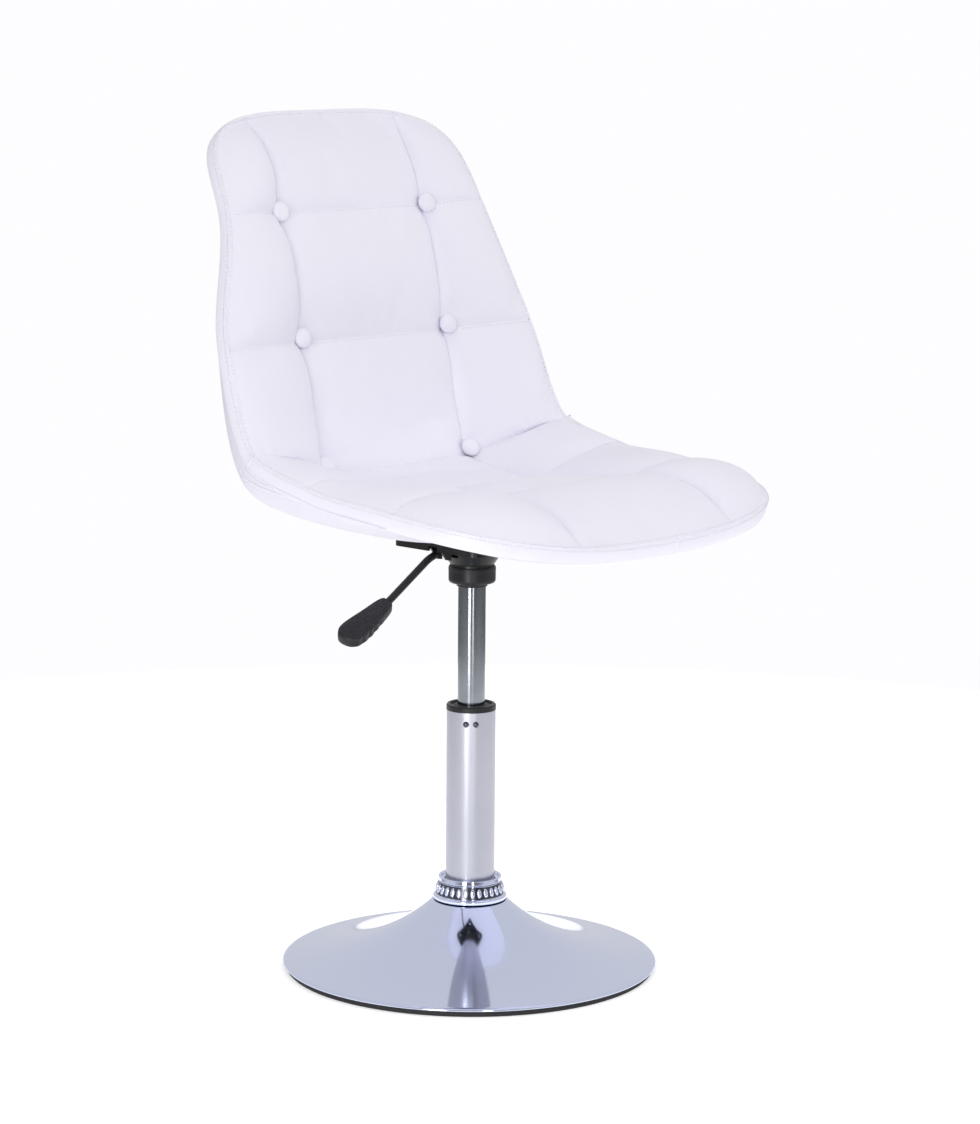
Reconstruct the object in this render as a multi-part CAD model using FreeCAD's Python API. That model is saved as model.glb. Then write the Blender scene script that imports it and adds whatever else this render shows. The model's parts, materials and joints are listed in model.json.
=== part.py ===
import FreeCAD, Part
import math
import os

# Height-adjustable drafting chair: a padded one-piece shell on a gas-lift column and a trumpet base.
# Millimetres. Origin at the centre of the floor circle under the base, +Z up, the sitter faces -Y,
# +X is the sitter's left. "Forward" below means the distance towards -Y.

# ---------------------------------------------------------------- driving dimensions
BASE_RADIUS = 192.5
BASE_EDGE_TOP = 9.0
NECK_RADIUS = 37.0
NECK_TOP = 72.0
FLARE_DECAY = 75.0          # the trumpet's height falls by e over this much radius
SHEET = 1.6                 # trumpet sheet thickness
RUBBER_HEIGHT = 6.0
RUBBER_INNER = 176.0
RUBBER_OUTER = 189.0
WEIGHT_RADIUS = 170.0
WEIGHT_BOTTOM = 2.5
WEIGHT_HEIGHT = 7.5

TUBE_RADIUS = 25.0
TUBE_WALL = 1.5
TUBE_TOP = 269.5
TUBE_BOTTOM = 14.0
CAP_TOP = 275.5
RIVET_HEIGHT = 258.0
RIVET_SPREAD = 11.5         # degrees each side of the rivet pair's middle
RIVET_AZIMUTH = 223.0       # direction of the pair, degrees from +X

COLLAR_BOTTOM = 72.0
COLLAR_TOP = 95.5
COLLAR_LOW_RADIUS = 37.0
COLLAR_HIGH_RADIUS = 32.0
COLLAR_BORE = 26.4
COLLAR_FLUTES = 24
FLUTE_RADIUS = 1.1
SOCKET_BOLT_RING = 46.0     # radius of the circle the four socket bolts stand on

CYLINDER_RADIUS = 14.0
CYLINDER_WALL = 1.6
CYLINDER_BOTTOM = 208.0
CYLINDER_TOP = 400.0
CONE_TOP = 434.5
CONE_TOP_RADIUS = 13.0
GROOVE_BOTTOM = 372.6       # thin turned line round the cylinder
GROOVE_TOP = 373.4
GROOVE_DEPTH = 0.35
PIN_RADIUS = 3.5            # release pin
ROD_RADIUS = 5.0
ROD_TOP = 236.0
RUN = 0.06                  # radial clearance of a running fit
BODY_GAP = 0.4              # gap between faces of different bodies that are not a fit

CUP_RADIUS = 24.0
CUP_TOP = 418.0
CUP_BOTTOM = 400.5
CUP_LIP = 397.0
CUP_CORNER = 7.0

PLATE_HALF = 58.0
PLATE_BOTTOM = 438.5
PLATE_TOP = 452.0
PLATE_GAUGE = 2.5
PLATE_CORNER = 11.0
PLATE_BOLT_HALF = 42.0      # half the spacing of the four seat bolts
PLATE_BOLT_TOP = 474.0
WASHER = 1.4
SPACER_TOP = 478.0          # the spacers are trimmed to the board from this height

LEVER_PIVOT_X = -44.0
LEVER_PIVOT_Z = 442.0
LEVER_HEIGHT = 444.0        # the lever's inner arm, over the release pin
LEVER_ROD_RADIUS = 3.75
LEVER_PATH = [(1.5, 444.0), (-38.0, 444.0), (-54.0, 435.0), (-64.0, 431.5), (-117.0, 397.7), (-134.0, 387.5)]
PIVOT_PIN_RADIUS = 2.5
EAR_INNER = 5.0             # the bracket's ears stand this far each side of the lever
EAR_GAUGE = 2.5
GRIP_START = (-122.0, 393.5)
GRIP_END = (-181.0, 366.0)
GRIP_WIDTH = 27.0
GRIP_THICK = 12.0
GRIP_TWIST = 25.0           # the blade's front edge lies lower

# Centre line of the upholstered panel, from the top edge of the back to the front edge of the seat:
# forward distance, height, half width, and how far the sides stand proud of the middle.
STATIONS = [
    (-226.0, 868.0, 178.0, 9.0),
    (-172.0, 770.0, 183.0, 10.0),
    (-140.0, 645.0, 220.0, 15.0),
    (-110.0, 513.0, 230.0, 45.0),
    (-5.0, 489.0, 234.0, 33.0),
    (110.0, 500.0, 235.0, 8.0),
    (252.0, 472.0, 234.0, 22.0),
]
CREASE = 3                  # the station where back and seat meet
SIDE_POWER = 2.1            # how the sides rise across the width
TOP_CORNER_HEIGHT = 112.0
TOP_CORNER_POWER = 3.2
FRONT_CORNER_DEPTH = 146.0
FRONT_CORNER_POWER = 3.3

PAD_EDGE = 6.0              # foam under the panel, at the border and in the middle
PAD_MIDDLE = 16.0
BOARD = 6.0                 # moulded plywood under the foam
COVER_EDGE = 2.0            # padding of the rear and under covers, at the border and in the middle
COVER_MIDDLE = 20.0
BEND_EXTRA = 20.0           # more padding round the outside of the bend
BEND_AT = 400.0             # where along the panel, and over what length
BEND_SPREAD = 140.0
LAYER_GAP = 0.3
BAND = 2.0                  # boxing band thickness

SEAM_HALF = 106.0           # the two long seams stand this far from the middle
BUTTON_RADIUS = 10.5
BUTTON_HEIGHT = 6.0
SHANK_RADIUS = 1.5          # the cord that pulls each button in
ANCHOR_RADIUS = 7.0         # the washer behind the board that the cord is tied to
ANCHOR_GAUGE = 1.5
SHANK_LENGTH = 21.8
SPACER_RADIUS = 6.5
NUT_BARREL_RADIUS = 4.6
NUT_FLANGE_RADIUS = 9.0
NUT_FLANGE = 1.2
NUT_GAP = 0.2               # the T-nut stands this clear of the board's faces

os.makedirs("parts", exist_ok=True)


# ---------------------------------------------------------------- helpers
def vec(x, y, z):
    return FreeCAD.Vector(x, y, z)


def save(name, shape):
    """Write one node; a list of shapes becomes one group of separate solids."""
    if isinstance(shape, list):
        shape = Part.makeCompound(shape)
    shape.exportStep("parts/" + name + ".step")


def cylinder(radius, bottom, top, x=0.0, y=0.0):
    return Part.makeCylinder(radius, top - bottom, vec(x, y, bottom))


def ring(outer, inner, bottom, top):
    return cylinder(outer, bottom, top).cut(cylinder(inner, bottom - 1, top + 1))


def ring_at(outer, inner, bottom, top, x, y):
    return cylinder(outer, bottom, top, x, y).cut(cylinder(inner, bottom - 1, top + 1, x, y))


def turned(profile):
    """Turn a closed (radius, height) outline about the column's axis."""
    points = [vec(r, 0, z) for r, z in profile]
    wire = Part.makePolygon(points + [points[0]])
    return Part.Face(wire).revolve(vec(0, 0, 0), vec(0, 0, 1), 360)


def turned_edges(edges):
    wire = Part.Wire(Part.__sortEdges__(edges))
    return Part.Face(wire).revolve(vec(0, 0, 0), vec(0, 0, 1), 360)


def line(a, b):
    return Part.LineSegment(a, b).toShape()


def spline(points):
    curve = Part.BSplineCurve()
    curve.interpolate(points)
    return curve.toShape()


def polar(radius, degrees, z=0.0):
    angle = math.radians(degrees)
    return vec(radius * math.cos(angle), radius * math.sin(angle), z)


# ---------------------------------------------------------------- base
def flare_height(radius):
    """Top surface of the trumpet: an exponential fall from the neck to the edge."""
    fall = math.exp(-(BASE_RADIUS - NECK_RADIUS) / FLARE_DECAY)
    scale = (NECK_TOP - BASE_EDGE_TOP) / (1.0 - fall)
    return NECK_TOP - scale * (1.0 - math.exp(-(radius - NECK_RADIUS) / FLARE_DECAY))


def make_trumpet():
    steps = 12
    edge = BASE_RADIUS - 3.0
    radii = [NECK_RADIUS + (edge - NECK_RADIUS) * i / steps for i in range(steps + 1)]
    top = [vec(r, 0, flare_height(r)) for r in radii]
    under = [vec(r, 0, flare_height(r) - SHEET) for r in radii]
    lip_out = vec(BASE_RADIUS, 0, BASE_EDGE_TOP - 2.0)
    lip_low = vec(BASE_RADIUS - 0.6, 0, RUBBER_HEIGHT)
    lip_in = vec(BASE_RADIUS - 3.0, 0, RUBBER_HEIGHT)
    edges = [spline(top), line(top[-1], lip_out), line(lip_out, lip_low), line(lip_low, lip_in)]
    edges += [line(lip_in, under[-1]), spline(list(reversed(under))), line(under[0], top[0])]
    skirt = turned_edges(edges)
    bore = cylinder(NECK_RADIUS - SHEET, 0, NECK_TOP + 1)
    return skirt.cut(bore)


def make_socket():
    flange = ring(62.0, TUBE_RADIUS, WEIGHT_BOTTOM + WEIGHT_HEIGHT, TUBE_BOTTOM + 1.5)
    sleeve = ring(29.0, TUBE_RADIUS, WEIGHT_BOTTOM + WEIGHT_HEIGHT, 66.0)
    socket = flange.fuse(sleeve)
    for k in range(4):
        at = polar(SOCKET_BOLT_RING, 45 + 90 * k)
        socket = socket.cut(cylinder(3.3, 0, 40, at.x, at.y))
    return socket


def make_socket_bolts():
    bolts = []
    for k in range(4):
        at = polar(SOCKET_BOLT_RING, 45 + 90 * k)
        head = cylinder(6.0, TUBE_BOTTOM + 1.5, TUBE_BOTTOM + 6.0, at.x, at.y)
        hexagon = cylinder(2.6, TUBE_BOTTOM + 3.5, TUBE_BOTTOM + 7.0, at.x, at.y)
        shank = cylinder(3.0, 4.5, TUBE_BOTTOM + 1.5, at.x, at.y)
        bolts.append(head.fuse(shank).cut(hexagon))
    return bolts


def make_weight():
    plate = ring(WEIGHT_RADIUS, 20.0, WEIGHT_BOTTOM, WEIGHT_BOTTOM + WEIGHT_HEIGHT)
    for k in range(4):
        at = polar(SOCKET_BOLT_RING, 45 + 90 * k)
        plate = plate.cut(cylinder(3.0, 0, 40, at.x, at.y))
    return plate


def make_rubber():
    lip = 1.2
    outline = [(RUBBER_INNER, 0), (RUBBER_OUTER - lip, 0), (RUBBER_OUTER, lip), (RUBBER_OUTER, RUBBER_HEIGHT),
               (RUBBER_INNER, RUBBER_HEIGHT)]
    return turned(outline)


def make_collar():
    """Conical trim ring with a fluted belt between two plain rims."""
    body = turned([(COLLAR_BORE, COLLAR_BOTTOM), (COLLAR_LOW_RADIUS + 0.8, COLLAR_BOTTOM),
                   (COLLAR_LOW_RADIUS + 0.8, COLLAR_BOTTOM + 3.0), (COLLAR_LOW_RADIUS - 1.2, COLLAR_BOTTOM + 4.2),
                   (COLLAR_HIGH_RADIUS - 0.6, COLLAR_TOP - 5.0), (COLLAR_HIGH_RADIUS + 0.8, COLLAR_TOP - 4.0),
                   (COLLAR_HIGH_RADIUS, COLLAR_TOP), (COLLAR_HIGH_RADIUS - 2.2, COLLAR_TOP),
                   (COLLAR_BORE, COLLAR_TOP - 5.0)])
    hollow = turned([(0, COLLAR_BOTTOM - 1), (COLLAR_LOW_RADIUS - 4.0, COLLAR_BOTTOM - 1),
                     (COLLAR_HIGH_RADIUS - 3.6, COLLAR_TOP - 8.0), (0, COLLAR_TOP - 8.0)])
    body = body.cut(hollow)
    for k in range(COLLAR_FLUTES):
        at = polar(COLLAR_HIGH_RADIUS + 3.4, 360.0 * k / COLLAR_FLUTES)
        body = body.cut(cylinder(FLUTE_RADIUS, COLLAR_BOTTOM + 6.5, COLLAR_TOP - 7.0, at.x, at.y))
    return body


# ---------------------------------------------------------------- column
TUBE_BORE = TUBE_RADIUS - TUBE_WALL
FLOOR_TOP = TUBE_BOTTOM + 6.0       # top of the plate that closes the tube
LOWER_RACE_TOP = FLOOR_TOP + 1.5
BALL_RADIUS = 2.0
BALL_RING = 11.0
UPPER_RACE_BOTTOM = LOWER_RACE_TOP + 2 * BALL_RADIUS + 0.3
UPPER_RACE_TOP = UPPER_RACE_BOTTOM + 1.5
BUSH_BOTTOM = 214.0


def rivet_angles():
    for side in (0, 180):
        for spread in (-RIVET_SPREAD, RIVET_SPREAD):
            yield RIVET_AZIMUTH + side + spread


def make_tube():
    tube = ring(TUBE_RADIUS, TUBE_BORE, TUBE_BOTTOM, TUBE_TOP)
    for angle in rivet_angles():
        hole = Part.makeCylinder(2.0, TUBE_RADIUS + 2, vec(0, 0, RIVET_HEIGHT), polar(1, angle))
        tube = tube.cut(hole)
    return tube


def make_rivets():
    rivets = []
    for angle in rivet_angles():
        direction = polar(1, angle)
        shank = Part.makeCylinder(2.0, TUBE_WALL + 3.0, polar(TUBE_BORE - 3.0, angle, RIVET_HEIGHT), direction)
        head = Part.makeCylinder(2.9, 1.1, polar(TUBE_RADIUS - 0.25, angle, RIVET_HEIGHT), direction)
        head = head.cut(cylinder(TUBE_RADIUS, RIVET_HEIGHT - 5, RIVET_HEIGHT + 5))
        rivets.append(head.fuse(shank))
    return rivets


def make_bush():
    bush = ring(TUBE_BORE, CYLINDER_RADIUS + RUN, BUSH_BOTTOM, TUBE_TOP)
    for angle in rivet_angles():
        hole = Part.makeCylinder(2.0, TUBE_RADIUS, polar(TUBE_BORE - 3.0, angle, RIVET_HEIGHT), polar(1, angle))
        bush = bush.cut(hole)
    return bush


def make_tube_cap():
    outline = [(CYLINDER_RADIUS + 0.5, TUBE_TOP), (TUBE_RADIUS + 0.4, TUBE_TOP), (TUBE_RADIUS + 0.4, CAP_TOP - 1.5),
               (TUBE_RADIUS - 0.8, CAP_TOP), (TUBE_RADIUS - 3.6, CAP_TOP), (TUBE_RADIUS - 4.2, CAP_TOP - 1.8),
               (CYLINDER_RADIUS + 3.0, CAP_TOP - 1.8), (CYLINDER_RADIUS + 2.4, CAP_TOP - 0.8),
               (CYLINDER_RADIUS + 0.5, CAP_TOP - 0.8)]
    return turned(outline)


def make_balls():
    height = LOWER_RACE_TOP + BALL_RADIUS + 0.15
    return [Part.makeSphere(BALL_RADIUS, polar(BALL_RING, 45 * k, height)) for k in range(8)]


def make_cage():
    middle = LOWER_RACE_TOP + BALL_RADIUS + 0.15
    cage = ring(BALL_RING + 3.2, BALL_RING - 3.2, middle - 0.6, middle + 0.6)
    for k in range(8):
        at = polar(BALL_RING, 45 * k)
        cage = cage.cut(cylinder(BALL_RADIUS, middle - 2, middle + 2, at.x, at.y))
    return cage


def make_rod():
    rod = cylinder(ROD_RADIUS, TUBE_BOTTOM - 7.0, ROD_TOP)
    clip_groove = ring(ROD_RADIUS + 1, ROD_RADIUS - 1.0, TUBE_BOTTOM - 4.0, TUBE_BOTTOM - 2.9)
    return rod.cut(clip_groove)


def make_clip():
    clip = ring(ROD_RADIUS + 3.5, ROD_RADIUS - 1.0, TUBE_BOTTOM - 4.0, TUBE_BOTTOM - 2.9)
    mouth = Part.makeBox(ROD_RADIUS * 1.5, 20, 4, vec(-ROD_RADIUS * 0.75, 0, TUBE_BOTTOM - 5.5))
    return clip.cut(mouth)


# ---------------------------------------------------------------- gas cylinder and release
def make_gas_cylinder():
    wall = ring(CYLINDER_RADIUS, CYLINDER_RADIUS - CYLINDER_WALL, CYLINDER_BOTTOM, CYLINDER_TOP)
    closed_end = cylinder(CYLINDER_RADIUS, CYLINDER_TOP - 6.0, CYLINDER_TOP)
    closed_end = closed_end.cut(cylinder(PIN_RADIUS + RUN, CYLINDER_TOP - 8, CYLINDER_TOP + 1))
    groove = ring(CYLINDER_RADIUS + 1, CYLINDER_RADIUS - GROOVE_DEPTH, GROOVE_BOTTOM, GROOVE_TOP)
    return wall.fuse(closed_end).cut(groove)


def make_gland():
    return ring(CYLINDER_RADIUS - CYLINDER_WALL, ROD_RADIUS + RUN, CYLINDER_BOTTOM, CYLINDER_BOTTOM + 12.0)


def make_cone():
    outline = [(PIN_RADIUS + RUN, CYLINDER_TOP), (CYLINDER_RADIUS - 0.1, CYLINDER_TOP), (CONE_TOP_RADIUS, CONE_TOP),
               (PIN_RADIUS + RUN, CONE_TOP)]
    return turned(outline)


def make_pin():
    stem = cylinder(PIN_RADIUS, CYLINDER_TOP - 7.0, LEVER_HEIGHT - LEVER_ROD_RADIUS - BODY_GAP)
    return stem.makeFillet(2.4, [stem.Edges[0]])


def make_cup():
    """Round dust cup under the plate: a short drum with a rounded lower edge and a lip."""
    bow = CUP_CORNER * (1 - math.sqrt(0.5))
    side_end = vec(CUP_RADIUS, 0, CUP_BOTTOM + CUP_CORNER)
    floor_end = vec(CUP_RADIUS - CUP_CORNER, 0, CUP_BOTTOM)
    arc = Part.Arc(side_end, vec(CUP_RADIUS - bow, 0, CUP_BOTTOM + bow), floor_end)
    inner = CYLINDER_RADIUS + 0.5
    brim = [vec(CUP_RADIUS + 0.9, 0, CUP_TOP), vec(CUP_RADIUS + 0.9, 0, CUP_TOP - 1.6),
            vec(CUP_RADIUS, 0, CUP_TOP - 2.2)]
    lip = [vec(15.7, 0, CUP_BOTTOM), vec(15.7, 0, CUP_LIP), vec(inner, 0, CUP_LIP), vec(inner, 0, CUP_TOP - 3.0),
           vec(19.4, 0, CUP_TOP - 3.0), vec(19.4, 0, CUP_TOP)]
    edges = [line(brim[0], brim[1]), line(brim[1], brim[2]), line(brim[2], side_end)]
    edges += [arc.toShape(), line(floor_end, lip[0])]
    edges += [line(lip[i], lip[i + 1]) for i in range(len(lip) - 1)]
    edges += [line(lip[-1], brim[0])]
    return turned_edges(edges)


# ---------------------------------------------------------------- seat plate
def square(half, corner, bottom, top):
    block = Part.makeBox(2 * half, 2 * half, top - bottom, vec(-half, -half, bottom))
    upright = [e for e in block.Edges if abs(e.tangentAt(e.FirstParameter).z) > 0.9]
    return block.makeFillet(corner, upright)


def bolt_places():
    return [(sx * PLATE_BOLT_HALF, sy * PLATE_BOLT_HALF) for sx in (-1, 1) for sy in (-1, 1)]


def make_plate():
    """Pressed tray: a flat top with a turned-down edge all round and four bolt holes."""
    tray = square(PLATE_HALF, PLATE_CORNER, PLATE_BOTTOM, PLATE_TOP)
    inner_half, inner_corner = PLATE_HALF - PLATE_GAUGE, PLATE_CORNER - PLATE_GAUGE
    hollow = square(inner_half, inner_corner, PLATE_BOTTOM - 1, PLATE_TOP - PLATE_GAUGE)
    tray = tray.cut(hollow)
    for x, y in bolt_places():
        tray = tray.cut(cylinder(3.3, PLATE_BOTTOM, PLATE_TOP + 1, x, y))
    slot = Part.makeBox(8, 12, 11, vec(-PLATE_HALF - 3, -6, PLATE_BOTTOM - 6))
    return tray.cut(slot)


SOCKET_BOTTOM = CUP_TOP
SOCKET_TOP = PLATE_TOP - PLATE_GAUGE


def make_taper_socket():
    """Welded hub that the cylinder's cone wedges into, flared towards the plate."""
    hub = turned([(0, SOCKET_BOTTOM), (22.5, SOCKET_BOTTOM), (22.5, SOCKET_BOTTOM + 2.0), (38.0, PLATE_BOTTOM + 4.0),
                  (38.0, SOCKET_TOP), (0, SOCKET_TOP)])
    taper = turned([(0, SOCKET_BOTTOM - 1), (CYLINDER_RADIUS, SOCKET_BOTTOM - 1),
                    (CONE_TOP_RADIUS + 0.05, CONE_TOP), (CONE_TOP_RADIUS + 0.05, CONE_TOP + 0.1),
                    (0, CONE_TOP + 0.1)])
    pocket = cylinder(30.0, CONE_TOP + 0.1, SOCKET_TOP)
    window = Part.makeBox(34, 15, 22, vec(-46, -7.5, PLATE_BOTTOM - 9.5))
    return hub.cut(taper.fuse(pocket)).cut(window)


def pivot_bore(radius):
    start = vec(LEVER_PIVOT_X, -EAR_INNER - EAR_GAUGE - 2, LEVER_PIVOT_Z)
    return Part.makeCylinder(radius, 2 * (EAR_INNER + EAR_GAUGE + 2), start, vec(0, 1, 0))


def make_lever_bracket():
    """Two pressed ears under the plate that hold the lever's pivot pin."""
    ears = []
    for y in (-EAR_INNER - EAR_GAUGE, EAR_INNER):
        side = [vec(-38.5, y, SOCKET_TOP), vec(-38.5, y, 428.0), vec(-45.0, y, 429.0), vec(-54.5, y, 441.0),
                vec(-54.5, y, SOCKET_TOP)]
        ear = Part.Face(Part.makePolygon(side + [side[0]])).extrude(vec(0, EAR_GAUGE, 0))
        ears.append(ear.cut(pivot_bore(PIVOT_PIN_RADIUS)))
    return ears


def make_pivot_pin():
    length = 2 * (EAR_INNER + EAR_GAUGE) + 2.4
    shank = Part.makeCylinder(PIVOT_PIN_RADIUS, length, vec(LEVER_PIVOT_X, -length / 2, LEVER_PIVOT_Z), vec(0, 1, 0))
    start = vec(LEVER_PIVOT_X, -length / 2 - 1.2, LEVER_PIVOT_Z)
    return shank.fuse(Part.makeCylinder(PIVOT_PIN_RADIUS + 1.5, 2.4, start, vec(0, 1, 0)))


# ---------------------------------------------------------------- lever
def sweep_rod(radius, path):
    """Round rod through the points, each corner a tangent arc of 0.45 of the shorter run."""
    edges = []
    start = path[0]
    for i in range(1, len(path) - 1):
        before, corner, after = path[i - 1], path[i], path[i + 1]
        back = (before - corner).normalize()
        ahead = (after - corner).normalize()
        reach = 0.45 * min(before.distanceToPoint(corner), after.distanceToPoint(corner))
        first = corner + back * reach
        last = corner + ahead * reach
        half = back.getAngle(ahead) / 2.0
        bend = reach * math.tan(half)
        middle_dir = (back + ahead).normalize()
        centre = corner + middle_dir * (reach / math.cos(half))
        middle = centre - middle_dir * bend
        edges.append(line(start, first))
        edges.append(Part.Arc(first, middle, last).toShape())
        start = last
    edges.append(line(start, path[-1]))
    wire = Part.Wire(edges)
    direction = (path[1] - path[0]).normalize()
    circle = Part.Wire(Part.Circle(path[0], direction, radius).toShape())
    return wire.makePipeShell([circle], True, False)


def lever_centre_line():
    return [vec(x, 0, z) for x, z in LEVER_PATH]


def make_lever_rod():
    rod = sweep_rod(LEVER_ROD_RADIUS, lever_centre_line())
    boss = Part.makeCylinder(6.0, 9.0, vec(LEVER_PIVOT_X, -4.5, LEVER_PIVOT_Z), vec(0, 1, 0))
    return rod.fuse(boss).cut(pivot_bore(PIVOT_PIN_RADIUS + RUN))


def make_grip():
    """Flat moulded handle, wider in its outer half, with finger scallops along its lower edge."""
    start = vec(GRIP_START[0], 0, GRIP_START[1])
    end = vec(GRIP_END[0], 0, GRIP_END[1])
    length = start.distanceToPoint(end)
    half = GRIP_WIDTH / 2.0
    outline = [vec(0, -6.5, 0), vec(10, -9.0, 0), vec(22, -half, 0), vec(length - 9, -half + 1, 0),
               vec(length, -half + 8, 0), vec(length, half - 8, 0), vec(length - 8, half - 2, 0),
               vec(24, half - 2, 0), vec(10, 8.0, 0), vec(0, 6.5, 0)]
    face = Part.Face(Part.makePolygon(outline + [outline[0]]))
    blade = face.extrude(vec(0, 0, GRIP_THICK))
    blade.translate(vec(0, 0, -GRIP_THICK / 2.0))
    upright = [e for e in blade.Edges if abs(e.tangentAt(e.FirstParameter).z) > 0.9]
    blade = blade.makeFillet(3.0, upright)
    rims = [e for e in blade.Edges if abs(e.tangentAt(e.FirstParameter).z) < 0.1]
    blade = blade.makeFillet(2.0, rims)
    for k in range(4):
        blade = blade.cut(Part.makeCylinder(6.0, 40, vec(22 + 10.5 * k, -half - 4.2, -20), vec(0, 0, 1)))
    slope = math.degrees(math.atan2(start.z - end.z, start.x - end.x))
    blade.rotate(vec(0, 0, 0), vec(1, 0, 0), -GRIP_TWIST)
    blade.rotate(vec(0, 0, 0), vec(0, 1, 0), 180 - slope)
    blade.translate(start)
    return blade.cut(sweep_rod(LEVER_ROD_RADIUS, lever_centre_line()))


# ---------------------------------------------------------------- upholstered shell
def lengths():
    """Distance of each station along the panel's centre line."""
    run = [0.0]
    for a, b in zip(STATIONS, STATIONS[1:]):
        run.append(run[-1] + math.hypot(b[0] - a[0], b[1] - a[1]))
    return run


RUNS = lengths()
PANEL_LENGTH = RUNS[-1]


def station_slope(i, column):
    low = max(i - 1, 0)
    high = min(i + 1, len(STATIONS) - 1)
    return (STATIONS[high][column] - STATIONS[low][column]) / (RUNS[high] - RUNS[low])


def along(s, column):
    """Smooth value of one station column at distance s along the panel."""
    i = 0
    while i < len(RUNS) - 2 and s > RUNS[i + 1]:
        i += 1
    if s < 0.0:
        return STATIONS[0][column] + s * station_slope(0, column)
    if s > PANEL_LENGTH:
        return STATIONS[-1][column] + (s - PANEL_LENGTH) * station_slope(len(STATIONS) - 1, column)
    span = RUNS[i + 1] - RUNS[i]
    t = (s - RUNS[i]) / span
    a, b = STATIONS[i][column], STATIONS[i + 1][column]
    ma, mb = station_slope(i, column) * span, station_slope(i + 1, column) * span
    return ((2 * t**3 - 3 * t**2 + 1) * a + (t**3 - 2 * t**2 + t) * ma
            + (3 * t**2 - 2 * t**3) * b + (t**3 - t**2) * mb)


def panel_point(s, x, off):
    """Point of the panel at distance s along it and x across it, off along its outward normal."""
    step = 1.0
    forward = along(s + step, 0) - along(s - step, 0)
    rise = along(s + step, 1) - along(s - step, 1)
    size = math.hypot(forward, rise)
    proud = along(s, 3) * (abs(x) / along(s, 2)) ** SIDE_POWER + off
    return vec(x, -(along(s, 0) - rise / size * proud), along(s, 1) + forward / size * proud)


def panel_surface(offset, first, last, rows, half):
    columns = 9
    grid = []
    for i in range(rows + 1):
        s = first + (last - first) * i / rows
        row = []
        for j in range(columns):
            x = half * (2.0 * j / (columns - 1) - 1.0)
            row.append(panel_point(s, x, offset(s, x)))
        grid.append(row)
    surface = Part.BSplineSurface()
    surface.interpolate(grid)
    return surface


def border_edges(surface):
    u0, u1, v0, v1 = surface.bounds()
    return [surface.uIso(u0), surface.uIso(u1), surface.vIso(v0), surface.vIso(v1)]


def slab(top_offset, low_offset, first=-24.0, last=PANEL_LENGTH + 14.0, rows=20, half=246.0):
    """Closed slab between two offsets of the panel."""
    top = panel_surface(top_offset, first, last, rows, half)
    low = panel_surface(low_offset, first, last, rows, half)
    faces = [top.toShape(), low.toShape()]
    for a, b in zip(border_edges(top), border_edges(low)):
        faces.append(Part.makeRuledSurface(a.toShape(), b.toShape()))
    shell = Part.makeShell(faces)
    shell.sewShape()
    solid = Part.makeSolid(shell)
    if solid.Volume < 0:
        solid.reverse()
    return solid


def rounded_end(depth, power, inset, steps=12):
    """Quarter of a rounded end: (share of the half width, distance from the end) from side to middle."""
    for k in range(steps + 1):
        angle = math.pi / 2 * k / steps
        share = math.cos(angle) ** (2.0 / power)
        reach = (depth - inset) * math.sin(angle) ** (2.0 / power)
        yield share, depth - reach


def border_point(s, share, inset):
    return panel_point(s, share * (along(s, 2) - inset), 0.0)


def mirrored_face(right, foot_half, foot):
    """Planar face from its right-hand border points, widened to foot_half and closed past foot."""
    left = [vec(-p.x, p.y, p.z) for p in right]
    corner = right[0] + vec(foot_half - right[0].x, 0, 0)
    wide = [corner, corner + foot]
    corners = [right[0]] + wide + [vec(-p.x, p.y, p.z) for p in reversed(wide)] + [left[0]]
    edges = [spline(right), spline(left)] + [line(a, b) for a, b in zip(corners, corners[1:])]
    return Part.Face(Part.Wire(Part.__sortEdges__(edges)))


def front_prism(inset):
    """Everything inside the border seen from the front: the back's sides and top corners."""
    right = [border_point(RUNS[CREASE] - step, 1.0, inset) for step in (0.0, 45.0, 90.0, 135.0, 190.0)]
    for share, s in rounded_end(TOP_CORNER_HEIGHT, TOP_CORNER_POWER, inset):
        right.append(border_point(s, share, inset))
    flat = [vec(p.x, 350.0, p.z) for p in right]
    return mirrored_face(flat, 262.0, vec(0, 0, -220)).extrude(vec(0, -700, 0))


def top_prism(inset):
    """Everything inside the border seen from above: the seat's sides and front corners."""
    right = [border_point(RUNS[CREASE] + step, 1.0, inset) for step in (0.0, 50.0, 105.0, 160.0)]
    for share, s in rounded_end(FRONT_CORNER_DEPTH, FRONT_CORNER_POWER, inset):
        right.append(border_point(PANEL_LENGTH - s, share, inset))
    flat = [vec(p.x, p.y, 300.0) for p in right]
    return mirrored_face(flat, flat[0].x + 0.5, vec(0, 300, 0)).extrude(vec(0, 0, 700))


def crease_block(front):
    """Half space in front of (seat) or above (back) the crease, square to the panel there."""
    s = RUNS[CREASE]
    foot = panel_point(s, 0, 0)
    tip = panel_point(s, 0, 100)
    normal = (tip - foot).normalize()
    tilt = math.degrees(math.atan2(normal.z, -normal.y))
    block = Part.makeBox(800, 1200, 800, vec(-400, -1000, 0.0 if not front else -800.0))
    block.rotate(vec(0, 0, 0), vec(1, 0, 0), -tilt)
    block.translate(foot)
    return block


def crown(s, x):
    """0 at the border and 1 in the middle of the panel."""
    across = max(0.0, 1.0 - (abs(x) / (along(s, 2) - 4.0)) ** 2)
    ends = max(0.0, 1.0 - abs(2.0 * s / PANEL_LENGTH - 1.0) ** 4)
    return across * ends


def panel_top(s, x):
    return 0.0


def pad_low(s, x):
    return -PAD_EDGE - (PAD_MIDDLE - PAD_EDGE) * crown(s, x)


def board_top(s, x):
    return pad_low(s, x) - LAYER_GAP


def board_low(s, x):
    return board_top(s, x) - BOARD


def cover_top(s, x):
    return board_low(s, x) - LAYER_GAP


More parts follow.
